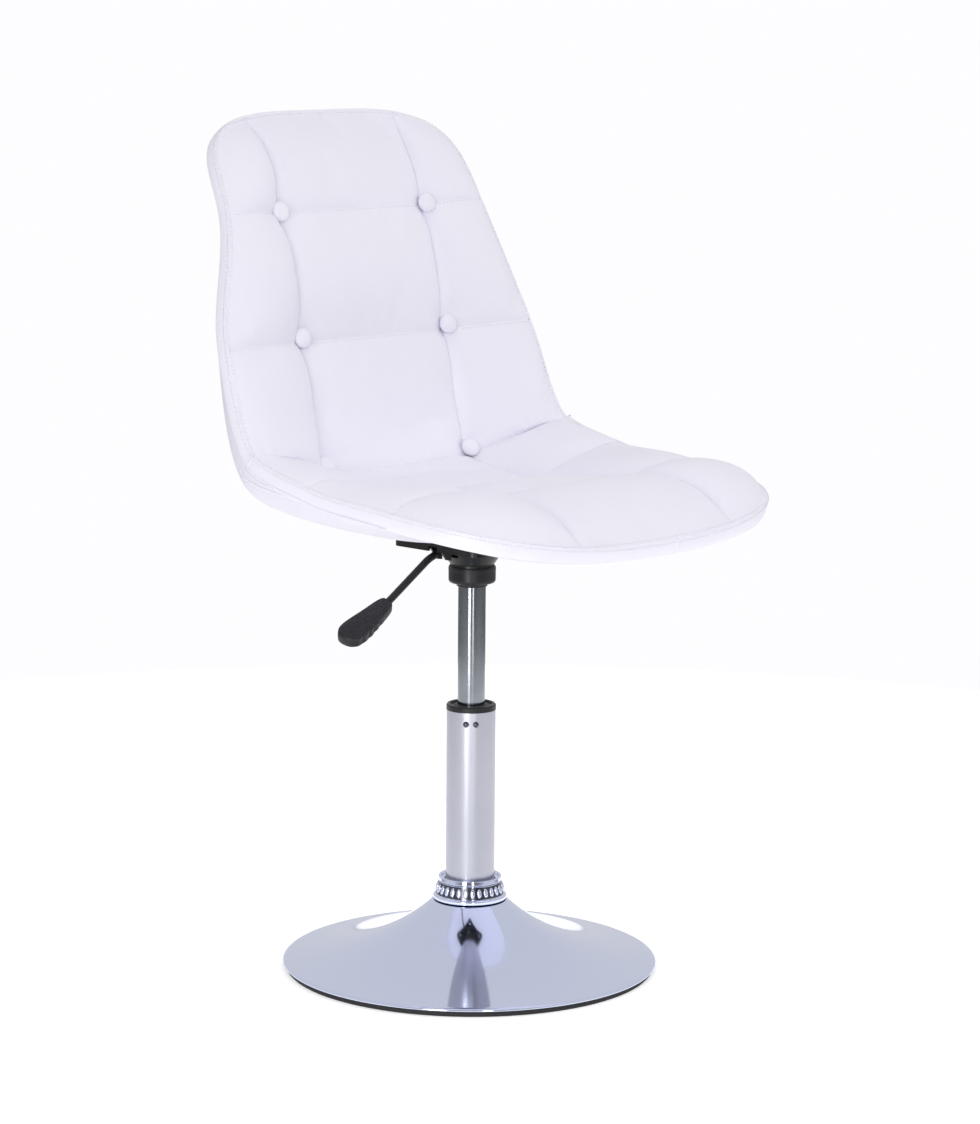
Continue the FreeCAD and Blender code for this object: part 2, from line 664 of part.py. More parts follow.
def cover_low(s, x):
    bend = BEND_EXTRA * math.exp(-((s - BEND_AT) / BEND_SPREAD) ** 2)
    full = crown(s, x)
    return cover_top(s, x) - COVER_EDGE - (COVER_MIDDLE - COVER_EDGE) * full - bend * (1.0 - full)


def shell_layer(top_offset, low_offset, inset):
    body = slab(top_offset, low_offset)
    return body.common(front_prism(inset)).common(top_prism(inset))


def drill(shape, radius):
    for x, y in bolt_places():
        shape = shape.cut(cylinder(radius, 420, 520, x, y))
    return shape


def pierce(shape, radius):
    for foot, normal in button_seats():
        shape = shape.cut(Part.makeCylinder(radius, 80, foot - normal * 60, normal))
    return shape


def nut_seat(s, x):
    return board_top(s, x) + NUT_GAP


def nut_top(s, x):
    return nut_seat(s, x) + NUT_FLANGE


def flange_top(s, x):
    return nut_top(s, x) + LAYER_GAP


def barrel_low(s, x):
    return board_low(s, x) + NUT_GAP


def nut_pieces(radius, top_offset, low_offset):
    """Ring round each seat bolt, cut to the layer between two offsets of the panel."""
    layer = slab(top_offset, low_offset, RUNS[CREASE], RUNS[CREASE + 2], 8, 80.0)
    return [ring_at(radius, 3.0, 430, 520, x, y).common(layer) for x, y in bolt_places()]


def make_upholstery():
    pad = pierce(shell_layer(panel_top, pad_low, BAND + LAYER_GAP), SHANK_RADIUS + LAYER_GAP)
    pad = pad.cut(Part.makeCompound(nut_pieces(NUT_FLANGE_RADIUS + LAYER_GAP, flange_top, board_top)))
    for foot, normal in button_seats():
        pad = pad.cut(Part.makeCylinder(BUTTON_RADIUS + LAYER_GAP, 30, foot, normal))
    save("seat_cushion", pad.common(crease_block(True)))
    save("back_cushion", pad.common(crease_block(False)))
    board = pierce(shell_layer(board_top, board_low, BAND + 3.0), SHANK_RADIUS + LAYER_GAP)
    board = drill(board, NUT_BARREL_RADIUS)
    save("inner_shell", board)
    flanges = nut_pieces(NUT_FLANGE_RADIUS, nut_top, nut_seat)
    barrels = nut_pieces(NUT_BARREL_RADIUS, nut_top, barrel_low)
    save("t_nuts", [flange.fuse(barrel) for flange, barrel in zip(flanges, barrels)])
    cover = shell_layer(cover_top, cover_low, BAND + LAYER_GAP)
    for foot, normal in button_seats():
        depth = SHANK_LENGTH + ANCHOR_GAUGE
        cover = cover.cut(Part.makeCylinder(ANCHOR_RADIUS + LAYER_GAP, depth, foot - normal * depth, normal))
    under = cover.common(crease_block(True))
    under = under.cut(square(PLATE_HALF + 3.0, 12.0, 400.0, PLATE_TOP + LAYER_GAP))
    save("under_cover", drill(under, SPACER_RADIUS + LAYER_GAP))
    save("rear_cover", cover.common(crease_block(False)))
    spacers = [ring_at(SPACER_RADIUS, 3.2, PLATE_TOP, SPACER_TOP, x, y) for x, y in bolt_places()]
    above = slab(panel_top, board_low)
    save("plate_spacers", [spacer.cut(above) for spacer in spacers])
    full = slab(panel_top, cover_low)
    outside = full.common(front_prism(0.0)).common(top_prism(0.0))
    inside = front_prism(BAND).common(top_prism(BAND))
    band = outside.cut(inside)
    save("seat_band", band.common(crease_block(True)))
    save("back_band", band.common(crease_block(False)))


def panel_frame(s, x):
    """Origin and outward normal of the panel at one place."""
    foot = panel_point(s, x, 0)
    tip = panel_point(s, x, 1)
    return foot, (tip - foot).normalize()


def button_seats():
    for i in (1, 2, 3):
        for side in (-1, 1):
            yield panel_frame(RUNS[i], side * SEAM_HALF)


def make_buttons():
    buttons = []
    for foot, normal in button_seats():
        disc = Part.makeCylinder(BUTTON_RADIUS, BUTTON_HEIGHT, foot + normal * LAYER_GAP, normal)
        buttons.append(disc.makeFillet(2.4, [disc.Edges[0]]))
    return buttons


def make_shanks():
    shanks = []
    for foot, normal in button_seats():
        start = foot - normal * (SHANK_LENGTH - LAYER_GAP)
        shanks.append(Part.makeCylinder(SHANK_RADIUS, SHANK_LENGTH, start, normal))
    return shanks


def make_anchors():
    anchors = []
    for foot, normal in button_seats():
        base = foot - normal * (SHANK_LENGTH + ANCHOR_GAUGE - LAYER_GAP)
        anchors.append(Part.makeCylinder(ANCHOR_RADIUS, ANCHOR_GAUGE, base, normal))
    return anchors


def make_plate_bolts():
    bolts = []
    for x, y in bolt_places():
        head = cylinder(5.5, SOCKET_TOP - WASHER - 4.0, SOCKET_TOP - WASHER, x, y)
        hexagon = cylinder(2.5, SOCKET_TOP - 6.0, SOCKET_TOP - 3.0, x, y)
        shank = cylinder(3.0, SOCKET_TOP - WASHER, PLATE_BOLT_TOP, x, y)
        bolts.append(head.fuse(shank).cut(hexagon))
    return bolts


def make_plate_washers():
    return [ring_at(7.0, 3.0, SOCKET_TOP - WASHER, SOCKET_TOP, x, y) for x, y in bolt_places()]


save("base_trumpet", make_trumpet())
save("base_rubber_ring", make_rubber())
save("base_weight_plate", make_weight())
save("base_socket", make_socket())
save("socket_bolts", make_socket_bolts())
save("collar_ring", make_collar())
save("outer_tube", make_tube())
save("tube_floor_plate", ring(TUBE_BORE, ROD_RADIUS + RUN, TUBE_BOTTOM, FLOOR_TOP))
save("tube_rivets", make_rivets())
save("guide_bush", make_bush())
save("tube_cap_ring", make_tube_cap())
save("lower_race", ring(BALL_RING + 4, BALL_RING - 4, FLOOR_TOP, LOWER_RACE_TOP))
save("bearing_balls", make_balls())
save("bearing_cage", make_cage())
save("upper_race", ring(BALL_RING + 4, ROD_RADIUS, UPPER_RACE_BOTTOM, UPPER_RACE_TOP))
save("bump_stop", ring(10.5, ROD_RADIUS, UPPER_RACE_TOP, UPPER_RACE_TOP + 22.0))
save("piston_rod", make_rod())
save("rod_clip", make_clip())
save("piston", ring(CYLINDER_RADIUS - CYLINDER_WALL - RUN, ROD_RADIUS, 223.0, 235.0))
save("gas_cylinder", make_gas_cylinder())
save("cylinder_gland", make_gland())
save("cylinder_cone", make_cone())
save("release_pin", make_pin())
save("dust_cup", make_cup())
save("seat_plate", make_plate())
save("taper_socket", make_taper_socket())
save("lever_bracket", make_lever_bracket())
save("lever_pivot_pin", make_pivot_pin())
save("lever_rod", make_lever_rod())
save("lever_grip", make_grip())
save("tuft_buttons", make_buttons())
save("button_cords", make_shanks())
save("button_anchors", make_anchors())
save("plate_bolts", make_plate_bolts())
save("plate_washers", make_plate_washers())
make_upholstery()
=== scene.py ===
import json
import math
import random

import bmesh
import bpy
import numpy as np
from mathutils import Matrix, Vector


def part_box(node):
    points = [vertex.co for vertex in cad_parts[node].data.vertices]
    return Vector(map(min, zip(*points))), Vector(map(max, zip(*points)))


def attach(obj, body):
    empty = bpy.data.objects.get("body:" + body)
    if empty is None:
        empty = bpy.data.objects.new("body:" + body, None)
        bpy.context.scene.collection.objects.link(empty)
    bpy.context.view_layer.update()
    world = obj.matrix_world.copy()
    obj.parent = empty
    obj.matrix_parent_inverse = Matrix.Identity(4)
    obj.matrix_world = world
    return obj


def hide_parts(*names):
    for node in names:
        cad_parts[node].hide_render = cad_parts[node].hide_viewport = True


# Looks of the quilted swivel chair. Metres. The sitter faces -Y, +X is the sitter's left.
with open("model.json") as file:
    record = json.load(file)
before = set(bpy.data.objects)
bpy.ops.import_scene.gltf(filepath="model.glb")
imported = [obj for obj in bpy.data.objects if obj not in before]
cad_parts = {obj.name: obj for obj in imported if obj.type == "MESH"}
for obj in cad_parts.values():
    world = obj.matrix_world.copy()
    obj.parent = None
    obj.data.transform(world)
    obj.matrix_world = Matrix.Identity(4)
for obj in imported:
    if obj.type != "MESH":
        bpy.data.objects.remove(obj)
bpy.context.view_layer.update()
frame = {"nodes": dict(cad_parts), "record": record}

# ---------------------------------------------------------------- sizes
# Centre line of the quilted panel, from the back's top edge to the seat's front edge:
# forward distance, height, half width, and how far the sides stand proud of the middle.
STATIONS = np.array([
    (-0.226, 0.868, 0.178, 0.009),
    (-0.172, 0.770, 0.183, 0.010),
    (-0.140, 0.645, 0.220, 0.015),
    (-0.110, 0.513, 0.230, 0.045),
    (-0.005, 0.489, 0.234, 0.033),
    (0.110, 0.500, 0.235, 0.008),
    (0.252, 0.472, 0.234, 0.022),
])
ROWS = len(STATIONS) - 1
CREASE = 3                   # station where back and seat meet
SIDE_POWER = 2.1
TOP_DEPTH, TOP_POWER = 0.112, 3.5
FRONT_DEPTH, FRONT_POWER = 0.146, 3.3
SEAM_HALF = 0.106            # the long seams stand this far from the middle
CELL_STEP = 0.0045           # mesh spacing of the quilt
CORNER_SHARE = 0.80          # where, across the width, the rounded corner's mesh corner lies
TOP_CORNER_X = CORNER_SHARE * STATIONS[0][2]
FRONT_CORNER_X = CORNER_SHARE * STATIONS[-1][2]

# How far each kind of seam lies under the foam's own surface.
LONG_DIP = 0.0026
CROSS_DIP = (0.0, 0.0010, 0.0010, 0.0022, 0.0008, 0.0008, 0.0)
CROSS_SPREAD, LONG_SPREAD = 0.0045, 0.005   # half width of the sewn grooves
BUTTON_DIP = 0.0056
BUTTON_REACH = 0.024
# Fullness over the panel. Each pair holds the heights at the cross seams, from the top edge to the
# front edge, and those in the middle of each row of cells between them. The two long seams ride up
# by the RISE pairs, and the three columns of cells puff up past them by the PUFF pairs. The near
# seam and column are on the sitter's right.
NEAR_RISE = (0.0, 0.0, 0.0, 0.0, 0.003, 0.006, 0.0), (0.011, 0.0065, 0.0055, 0.003, 0.007, 0.017)
FAR_RISE = (0.0, 0.0, 0.0, 0.0, -0.002, 0.002, 0.0), (0.001, 0.0, 0.0, 0.001, 0.004, 0.022)
NEAR_PUFF = (0.0, 0.0050, 0.0050, 0.009, 0.0135, 0.0130, 0.0), (0.008, 0.010, 0.012, 0.0145, 0.015, 0.013)
FAR_PUFF = (0.0, 0.0050, 0.0050, 0.004, 0.013, 0.013, 0.0), (0.010, 0.0115, 0.015, 0.0145, 0.016, 0.013)
MIDDLE_PUFF = (0.0, 0.0025, 0.0025, 0.003, 0.008, 0.007, 0.0), (0.005, 0.0055, 0.006, 0.006, 0.010, 0.0095)
FLAT_MARGIN = 0.0030         # topstitched strip along the border, held flat
EDGE_ROLL = 0.0095           # how quickly the foam rises inside that strip
SEAM_SHIFT = (0.0, 0.0, 0.004, 0.006, 0.003, 0.003, 0.0)   # cross seams' distance past their stations
FAR_SEAM = (0.106, 0.104, 0.104, 0.106, 0.106, 0.106, 0.113)   # the long seam on the sitter's left

BUTTON_RADIUS = 0.0102
# Button profile: share of the radius, and height over the leather.
BUTTON_DOME = ((0.50, -0.0080), (0.80, -0.0050), (0.95, -0.0022), (1.0, -0.0004), (1.0, 0.0012),
               (0.965, 0.0024), (0.90, 0.0032), (0.78, 0.0040), (0.60, 0.0047), (0.40, 0.0051),
               (0.20, 0.0053), (0.04, 0.00535))
GATHERS, GATHER_DEPTH = 14, 0.010
STITCH_PITCH = 0.0042
STITCH_LENGTH = 0.0027
THREAD = 0.00048             # thread radius
BORDER_ROW = 0.0032          # the band's topstitch row, from the border seam
BORDER_SHARE = 0.7           # how far it stands out of the outline, as a share of BAND_PROUD
OUTLINE_POINTS, RING_POINTS = 420, 700

PAD_EDGE, PAD_BELLY = 0.006, 0.010   # panel to the pads' underside at the border, and more in the middle
CLOTH_PRESSURE = 2.0
CLOTH_FRAMES = 20
CLOTH_SLACK = -0.004         # the leather is cut this much larger than its cell
MOVE_SHARE = 0.7             # share of the solver's movement that is kept
MOVE_CAP = 0.006             # no point of the leather moves further than this

BAND_PROUD = 0.0016          # fullness of the boxing strip between its seams
BAND_TUCK = 0.0004           # its seams stand this far inside the outline
BAND_INSIDE = 0.0022         # its hidden face
BAND_DEPTH = 0.0086          # from the pad's underside to the covers
BAND_LAP = 0.0012            # band over the edge of the covers
TOP_PROUD, TOP_REACH = 0.0012, 0.012   # extra fullness of the band along the top edge
JOINT_SECTION = ((-0.0013, -0.0012), (-0.0009, 0.0002), (0.0, 0.0007), (0.0009, 0.0002), (0.0013, -0.0012))

BELLY = 0.019                # the covers' extra fullness in the middle
BEND_EXTRA = 0.025           # and round the outside of the bend
BEND_AT = 0.400
BEND_AHEAD, BEND_BEHIND = 0.095, 0.140
COVER_TUCK = 0.005           # how quickly the covers bulge inside the band
COVER_ROWS, COVER_COLUMNS = 130, 110
COVER_RIM = 0.0069           # the covers' inner face, from the pads' underside
PLATE_ROOM, PLATE_CLEAR = 0.004, 0.0003   # flat recess round the seat plate, and over it
END_GAP, CREASE_GAP, SIDE_GAP = 0.0005, 0.0002, 0.0003   # covers inside the outline
WELTS = ((0.362, 0.600, 0.0009), (0.364, 0.560, 0.0026), (0.366, 0.520, 0.0050))   # start, end, inset
WELT_RADIUS, WELT_PROUD, WELT_DROP = 0.0013, 0.0010, 0.0004

BASE_RADIUS, BASE_EDGE_TOP = 0.1925, 0.009
NECK_RADIUS, NECK_TOP, FLARE_DECAY = 0.037, 0.072, 0.075
SHEET = 0.0016
# Turned profiles: radius, height, fillet.
CUP_PROFILE = ((0.0194, 0.418, 0), (0.0235, 0.418, 0.0008), (0.0242, 0.4155, 0.0012),
               (0.0240, 0.412, 0.001), (0.0240, 0.4005, 0.0098), (0.0160, 0.4005, 0.0012),
               (0.0157, 0.397, 0.0008), (0.0146, 0.397, 0.0004), (0.0146, 0.4145, 0.0004),
               (0.0194, 0.4145, 0))
COLLAR_PROFILE = ((0.0264, 0.072, 0), (0.0378, 0.072, 0.0008), (0.0378, 0.0752, 0.0012),
                  (0.0352, 0.0768, 0.0005), (0.0318, 0.0898, 0.0005), (0.0330, 0.0915, 0.0008),
                  (0.0322, 0.0955, 0.0010), (0.0298, 0.0955, 0.0006), (0.0286, 0.0925, 0.0006),
                  (0.0264, 0.0915, 0.0004))
BELT_PROFILE = ((0.0345, 0.0770, 0), (0.03545, 0.0772, 0.0003), (0.0323, 0.0894, 0.0003),
                (0.0314, 0.0892, 0))
BELT_LOW, BELT_HIGH = (0.03555, 0.0784), (0.03270, 0.0884)   # radius, height where the bosses stand
BOSS_COUNT, BOSS_LENGTH, BOSS_WIDTH = 30, 0.0048, 0.0024     # half length and half width
BOSS_DOME = ((1.0, -0.0004), (1.0, 0.0001), (0.82, 0.0007), (0.5, 0.0010), (0.1, 0.0011))
TUBE_RADIUS, RIVET_HEIGHT, RIVET_RADIUS = 0.025, 0.258, 0.0030
RIVET_ANGLES = (211.5, 234.5, 31.5, 54.5)
RIVET_DOME = ((0.9, -0.0006), (1.0, 0.0), (1.0, 0.0006), (0.86, 0.0014), (0.55, 0.0020), (0.08, 0.0023))

GRIP_START, GRIP_END = np.array((-0.122, 0.0, 0.3935)), np.array((-0.181, 0.0, 0.366))
GRIP_THICK, GRIP_TWIST = 0.012, math.radians(25.0)
GRIP_CENTRE = np.array((0.034, -0.0005))
# Handle outline from above: distance from the rod's end, and across towards the back.
GRIP_OUTLINE = ((0.000, 0.0055), (0.008, 0.0080), (0.024, 0.0100), (0.044, 0.0122), (0.059, 0.0122),
                (0.0670, 0.0075), (0.0690, 0.0000), (0.0665, -0.0085), (0.0590, -0.0140),
                (0.0450, -0.0150), (0.0300, -0.0132), (0.0170, -0.0108), (0.0060, -0.0085),
                (0.000, -0.0060), (-0.0015, 0.0))
# Its rims: share of the half thickness, and inset from the outline.
GRIP_RIMS = ((-1.0, 0.0026), (-0.94, 0.0012), (-0.78, 0.0003), (-0.5, 0.0), (0.5, 0.0), (0.78, 0.0003),
             (0.94, 0.0012), (1.0, 0.0026), (1.0, 0.0036), (0.93, 0.0042))
SCALLOP_FROM, SCALLOP_TO, SCALLOP_PITCH, SCALLOP_DEPTH = 0.014, 0.066, 0.0105, 0.0022

FLOOR_RINGS, FLOOR_STEPS = (0.4, 0.8, 1.2, 1.6), 64
FLOOR_GLOW = 0.40
WORLD_LIGHT, DARK_LIGHT, LOW_LIGHT = 0.72, 0.20, 0.35
DARK_SIDE = (-0.72, -0.67, 0.17)
DARK_FROM, DARK_TO = 0.55, 0.90   # cosine from the dark side where the dark starts and is full
LOW_FROM, LOW_TO = -0.06, 0.02    # height of the view direction where the low dark is full and ends
# Lights: name, azimuth, elevation, distance, size, power, height of the target, glossy.
LIGHTS = (
    ("left_strip", -66.0, 1.0, 1.20, (0.24, 0.7), 6.5, 0.43, True),
    ("right_strip", -36.0, 1.0, 1.20, (0.12, 0.7), 1.5, 0.43, True),
    ("front_box", -62.0, 12.0, 3.2, (2.4, 2.4), 49.0, 0.55, False),
    ("side_box", 42.0, 20.0, 3.2, (2.4, 2.4), 26.0, 0.55, False),
    ("top_box", 0.0, 82.0, 2.4, (2.2, 2.2), 5.0, 0.55, False),
)


# ---------------------------------------------------------------- panel geometry
RUNS = np.concatenate([[0.0], np.cumsum(np.hypot(np.diff(STATIONS[:, 0]), np.diff(STATIONS[:, 1])))])
LENGTH = RUNS[-1]
SEAM_RUNS = RUNS + np.array(SEAM_SHIFT)


def station_slopes():
    slopes = np.zeros_like(STATIONS)
    last = len(STATIONS) - 1
    for i in range(last + 1):
        low, high = max(i - 1, 0), min(i + 1, last)
        slopes[i] = (STATIONS[high] - STATIONS[low]) / (RUNS[high] - RUNS[low])
    return slopes


SLOPES = station_slopes()


def along(s):
    """Station values (forward, height, half width, proud) at distances s, as an array of rows."""
    s = np.atleast_1d(np.asarray(s, float))
    i = np.clip(np.searchsorted(RUNS, s, side="right") - 1, 0, ROWS - 1)
    span = (RUNS[i + 1] - RUNS[i])[:, None]
    t = ((np.clip(s, 0.0, LENGTH) - RUNS[i]) / span[:, 0])[:, None]
    value = ((2 * t**3 - 3 * t**2 + 1) * STATIONS[i] + (t**3 - 2 * t**2 + t) * SLOPES[i] * span
             + (3 * t**2 - 2 * t**3) * STATIONS[i + 1] + (t**3 - t**2) * SLOPES[i + 1] * span)
    value += (s - np.clip(s, 0.0, LENGTH))[:, None] * np.where(s[:, None] < 0, SLOPES[0], SLOPES[-1])
    return value


def panel(s, x, off):
    """Points of the panel at distance s along it and x across it, off along its outward normal."""
    s, x, off = np.broadcast_arrays(*(np.atleast_1d(np.asarray(v, float)) for v in (s, x, off)))
    here = along(s)
    step = 0.001
    ahead = along(s + step) - along(s - step)
    size = np.hypot(ahead[:, 0], ahead[:, 1])
    proud = here[:, 3] * (np.abs(x) / here[:, 2]) ** SIDE_POWER + off
    forward = here[:, 0] - ahead[:, 1] / size * proud
    height = here[:, 1] + ahead[:, 0] / size * proud
    return np.stack([x, -forward, height], axis=1)


def end_share(reach, power):
    return max(0.0, 1.0 - min(reach, 1.0) ** power) ** (1.0 / power)


def half_width(s):
    """Half width of the outline at distance s, with both ends rounded."""
    width = float(along(s)[0, 2])
    share = 1.0
    if s < TOP_DEPTH:
        share = end_share(1.0 - s / TOP_DEPTH, TOP_POWER)
    if s > LENGTH - FRONT_DEPTH:
        share = end_share(1.0 - (LENGTH - s) / FRONT_DEPTH, FRONT_POWER)
    return width * share


def end_distance(x, top):
    """Distance along the panel at which the outline's rounded end is x from the middle."""
    low, high = (0.0, TOP_DEPTH) if top else (LENGTH, LENGTH - FRONT_DEPTH)
    for _ in range(40):
        middle = 0.5 * (low + high)
        if half_width(middle) < abs(x):
            low = middle
        else:
            high = middle
    return 0.5 * (low + high)


def outline_side(s_from, s_to, count, sign):
    """Outline points (s, x) down one side; even spacing along the curve."""
    fine = np.linspace(s_from, s_to, 160)
    points = np.array([(s, sign * half_width(s)) for s in fine])
    return even(points, count)


def outline_end(x_from, x_to, count, top):
    fine = np.linspace(x_from, x_to, 160)
    points = np.array([(end_distance(x, top), x) for x in fine])
    return even(points, count)


def sample(at, run, points):
    """Points of a path at distances at; run holds the distance of each of its own points."""
    return np.stack([np.interp(at, run, column) for column in points.T], axis=-1)


def path_run(points):
    return np.concatenate([[0.0], np.cumsum(np.linalg.norm(np.diff(points, axis=0), axis=1))])


def even(points, count):
    run = path_run(points)
    return sample(np.linspace(0.0, run[-1], count), run, points)


def straight(a, b, count):
    t = np.linspace(0.0, 1.0, count)[:, None]
    return (1 - t) * np.array(a) + t * np.array(b)


def coons(top, bottom, left, right):
    """Fill a patch from its four border curves; top and bottom run left to right, the others down."""
    rows, columns = len(left), len(top)
    u = np.linspace(0, 1, columns)[None, :, None]
    v = np.linspace(0, 1, rows)[:, None, None]
    ruled_v = (1 - v) * top[None, :, :] + v * bottom[None, :, :]
    ruled_u = (1 - u) * left[:, None, :] + u * right[:, None, :]
    corners = ((1 - u) * (1 - v) * top[0] + u * (1 - v) * top[-1]
               + (1 - u) * v * bottom[0] + u * v * bottom[-1])
    return ruled_v + ruled_u - corners


def column_counts():
    side = int(round((STATIONS[3][2] - SEAM_HALF) / CELL_STEP)) + 1
    middle = int(round(2 * SEAM_HALF / CELL_STEP)) + 1
    return (side, middle, side)


def row_counts():
    return [int(round((SEAM_RUNS[i + 1] - SEAM_RUNS[i]) / CELL_STEP)) + 1 for i in range(ROWS)]


def cell_curves(row, column, rows, columns):
    """The four border curves of one quilt cell, in (s, x)."""
    s0, s1 = SEAM_RUNS[row], SEAM_RUNS[row + 1]
    first, last = row == 0, row == ROWS - 1
    x0, x1 = (SEAM_HALF, SEAM_HALF) if column == 0 else FAR_SEAM[row:row + 2]
    if column == 1:
        near = -SEAM_HALF
        top = outline_end(near, x0, columns, True) if first else straight((s0, near), (s0, x0), columns)
        bottom = outline_end(near, x1, columns, False) if last else straight((s1, near), (s1, x1), columns)
        return top, bottom, straight(top[0], bottom[0], rows), straight(top[-1], bottom[-1], rows)
    sign = -1 if column == 0 else 1
    seam_top = end_distance(x0, True) if first else s0
    seam_low = end_distance(x1, False) if last else s1
    out_top = end_distance(TOP_CORNER_X, True) if first else s0
    out_low = end_distance(FRONT_CORNER_X, False) if last else s1
    seam = straight((seam_top, sign * x0), (seam_low, sign * x1), rows)
    side = outline_side(out_top, out_low, rows, sign)
    inner, outer = sign * x0, side[0][1]
    top = outline_end(inner, outer, columns, True) if first else straight((s0, inner), side[0], columns)
    inner, outer = sign * x1, side[-1][1]
    bottom = outline_end(inner, outer, columns, False) if last else straight((s1, inner), side[-1], columns)
    if sign < 0:
        return top[::-1], bottom[::-1], side, seam
    return top, bottom, seam, side


def quilt_grid():
    """The whole quilt as one grid of (s, x), with each point's cell and place (0 to 1) in its cell."""
    columns, rows = column_counts(), row_counts()
    blocks = []
    for i in range(ROWS):
        strip = []
        for j in range(3):
            patch = coons(*cell_curves(i, j, rows[i], columns[j]))
            v, u = np.meshgrid(np.linspace(0, 1, rows[i]), np.linspace(0, 1, columns[j]), indexing="ij")
            which = np.full_like(u, i), np.full_like(u, j)
            cell = np.stack([patch[..., 0], patch[..., 1], u, v, *which], axis=2)
            strip.append(cell if j == 2 else cell[:, :-1])
        strip = np.concatenate(strip, axis=1)
        blocks.append(strip if i == ROWS - 1 else strip[:-1])
    return np.concatenate(blocks, axis=0)


def dome(t):
    """Cross profile of a puffed cell: 0 at its seams, 1 in its middle, steep near the seams."""
    return (1.0 - np.abs(2 * t - 1) ** 2.4) ** 0.72


def side_dome(t):
    """The same for a side cell, from its long seam at 0 to the border at 1, where the roll takes over."""
    rise = dome(np.minimum(t / 0.9, 0.5))
    return rise * (1.0 - 0.30 * np.clip((t - 0.45) / 0.55, 0.0, 1.0) ** 2)


def fullness(at_seams, in_cells, row, v):
    """Height along a column, from its values at the cross seams and in the middle of each cell."""
    at_seams, in_cells = np.array(at_seams), np.array(in_cells)
    first = np.where(row == ROWS - 1, 1 - v ** 4, 1 - v)
    second = np.where(row == 0, 1 - (1 - v) ** 4, v)
    first_half = np.where(row == ROWS - 1, 1 - 0.5 ** 4, 0.5)
    second_half = np.where(row == 0, 1 - 0.5 ** 4, 0.5)
    above, below = at_seams[row], at_seams[row + 1]
    extra = in_cells[row] - above * first_half - below * second_half
    return above * first + below * second + extra * (1.0 - np.abs(2 * v - 1) ** 2.2)


def border_distance(grid):
    """Distance in (s, x) from each grid point to the outline."""
    ring = grid[..., :2].reshape(-1, 2)[grid_edge(*grid.shape[:2])]
    flat = grid[..., :2].reshape(-1, 2)
    near = np.full(len(flat), 1.0)
    for point in ring:
        near = np.minimum(near, np.hypot(flat[:, 0] - point[0], flat[:, 1] - point[1]))
    return near.reshape(grid.shape[:2])


def quilt_offset(grid):
    """How far each point of the quilt stands off the panel: puffed cells, sewn seams, pulled buttons."""
    s, x, u, v = grid[..., 0], grid[..., 1], grid[..., 2], grid[..., 3]
    row, column = grid[..., 4].astype(int), grid[..., 5].astype(int)
    from_seam = np.where(column == 0, 1 - u, u)
    near_rise, far_rise = fullness(*NEAR_RISE, row, v), fullness(*FAR_RISE, row, v)
    near = fullness(*NEAR_PUFF, row, v) * side_dome(from_seam) + near_rise * (1.0 - from_seam ** 2)
    far = fullness(*FAR_PUFF, row, v) * side_dome(from_seam) + far_rise * (1.0 - from_seam ** 2)
    middle = fullness(*MIDDLE_PUFF, row, v) * dome(u) + (1 - u) * near_rise + u * far_rise
    height = np.choose(column, (near, middle, far))
    height *= 1.0 - np.exp(-np.maximum(border_distance(grid) - FLAT_MARGIN, 0.0) / EDGE_ROLL)
    inside = np.clip(np.minimum(s, LENGTH - s) / 0.03, 0.0, 1.0)
    for k in range(1, ROWS):
        height -= CROSS_DIP[k] * np.exp(-((s - SEAM_RUNS[k]) / CROSS_SPREAD) ** 2)
    for sign in (-1, 1):
        seam = -SEAM_HALF if sign < 0 else np.interp(s, SEAM_RUNS, FAR_SEAM)
        height -= inside * LONG_DIP * np.exp(-((x - seam) / LONG_SPREAD) ** 2)
        for k in (1, 2, 3):
            away = np.hypot(s - RUNS[k], x - sign * SEAM_HALF)
            height -= BUTTON_DIP * np.exp(-(away / BUTTON_REACH) ** 2)
    return height


# ---------------------------------------------------------------- mesh helpers
def new_object(name, verts, faces, smooth=True):
    mesh = bpy.data.meshes.new(name)
    mesh.from_pydata([tuple(map(float, v)) for v in verts], [], faces)
    mesh.validate()
    mesh.update()
    if smooth:
        mesh.polygons.foreach_set("use_smooth", [True] * len(mesh.polygons))
    piece = bpy.data.objects.new(name, mesh)
    bpy.context.scene.collection.objects.link(piece)
    return piece


def grid_faces(rows, columns, closed=False):
    faces = []
    span = columns if closed else columns - 1
    for i in range(rows - 1):
        for j in range(span):
            k = (j + 1) % columns
            faces.append((i * columns + j, i * columns + k, (i + 1) * columns + k, (i + 1) * columns + j))
    return faces


def ring_mesh(rings):
    """Vertices and faces of a stack of rings with equal counts, closed at both ends."""
    count = len(rings[0])
    faces = grid_faces(len(rings), count, closed=True)
    faces.append(tuple(range(count))[::-1])
    faces.append(tuple(range((len(rings) - 1) * count, len(rings) * count)))
    return np.concatenate(rings), faces


def merge(parts):
    """One list of vertices and one of faces from several (vertices, faces) pairs."""
    verts, faces, total = [], [], 0
    for part_verts, part_faces in parts:
        verts.append(part_verts)
        faces += [tuple(i + total for i in face) for face in part_faces]
        total += len(part_verts)
    return np.concatenate(verts), faces


def flip_outward(piece):
    """Make the faces of a closed or open mesh agree, and point out where it is closed."""
    work = bmesh.new()
    work.from_mesh(piece.data)
    bmesh.ops.recalc_face_normals(work, faces=work.faces)
    work.to_mesh(piece.data)
    work.free()


def finish_piece(piece, body, material, slot, *nodes):
    piece.data.materials.clear()
    piece.data.materials.append(material)
    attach(piece, body)
    if nodes:
        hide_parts(*nodes)
    return piece


def add_piece(name, verts, faces, *finish, sharp=None):
    """New piece with outward faces, finished as finish_piece says; sharp is an angle in degrees."""
    piece = new_object(name, verts, faces)
    flip_outward(piece)
    if sharp is not None:
        piece.data.set_sharp_from_angle(angle=math.radians(sharp))
    return finish_piece(piece, *finish)


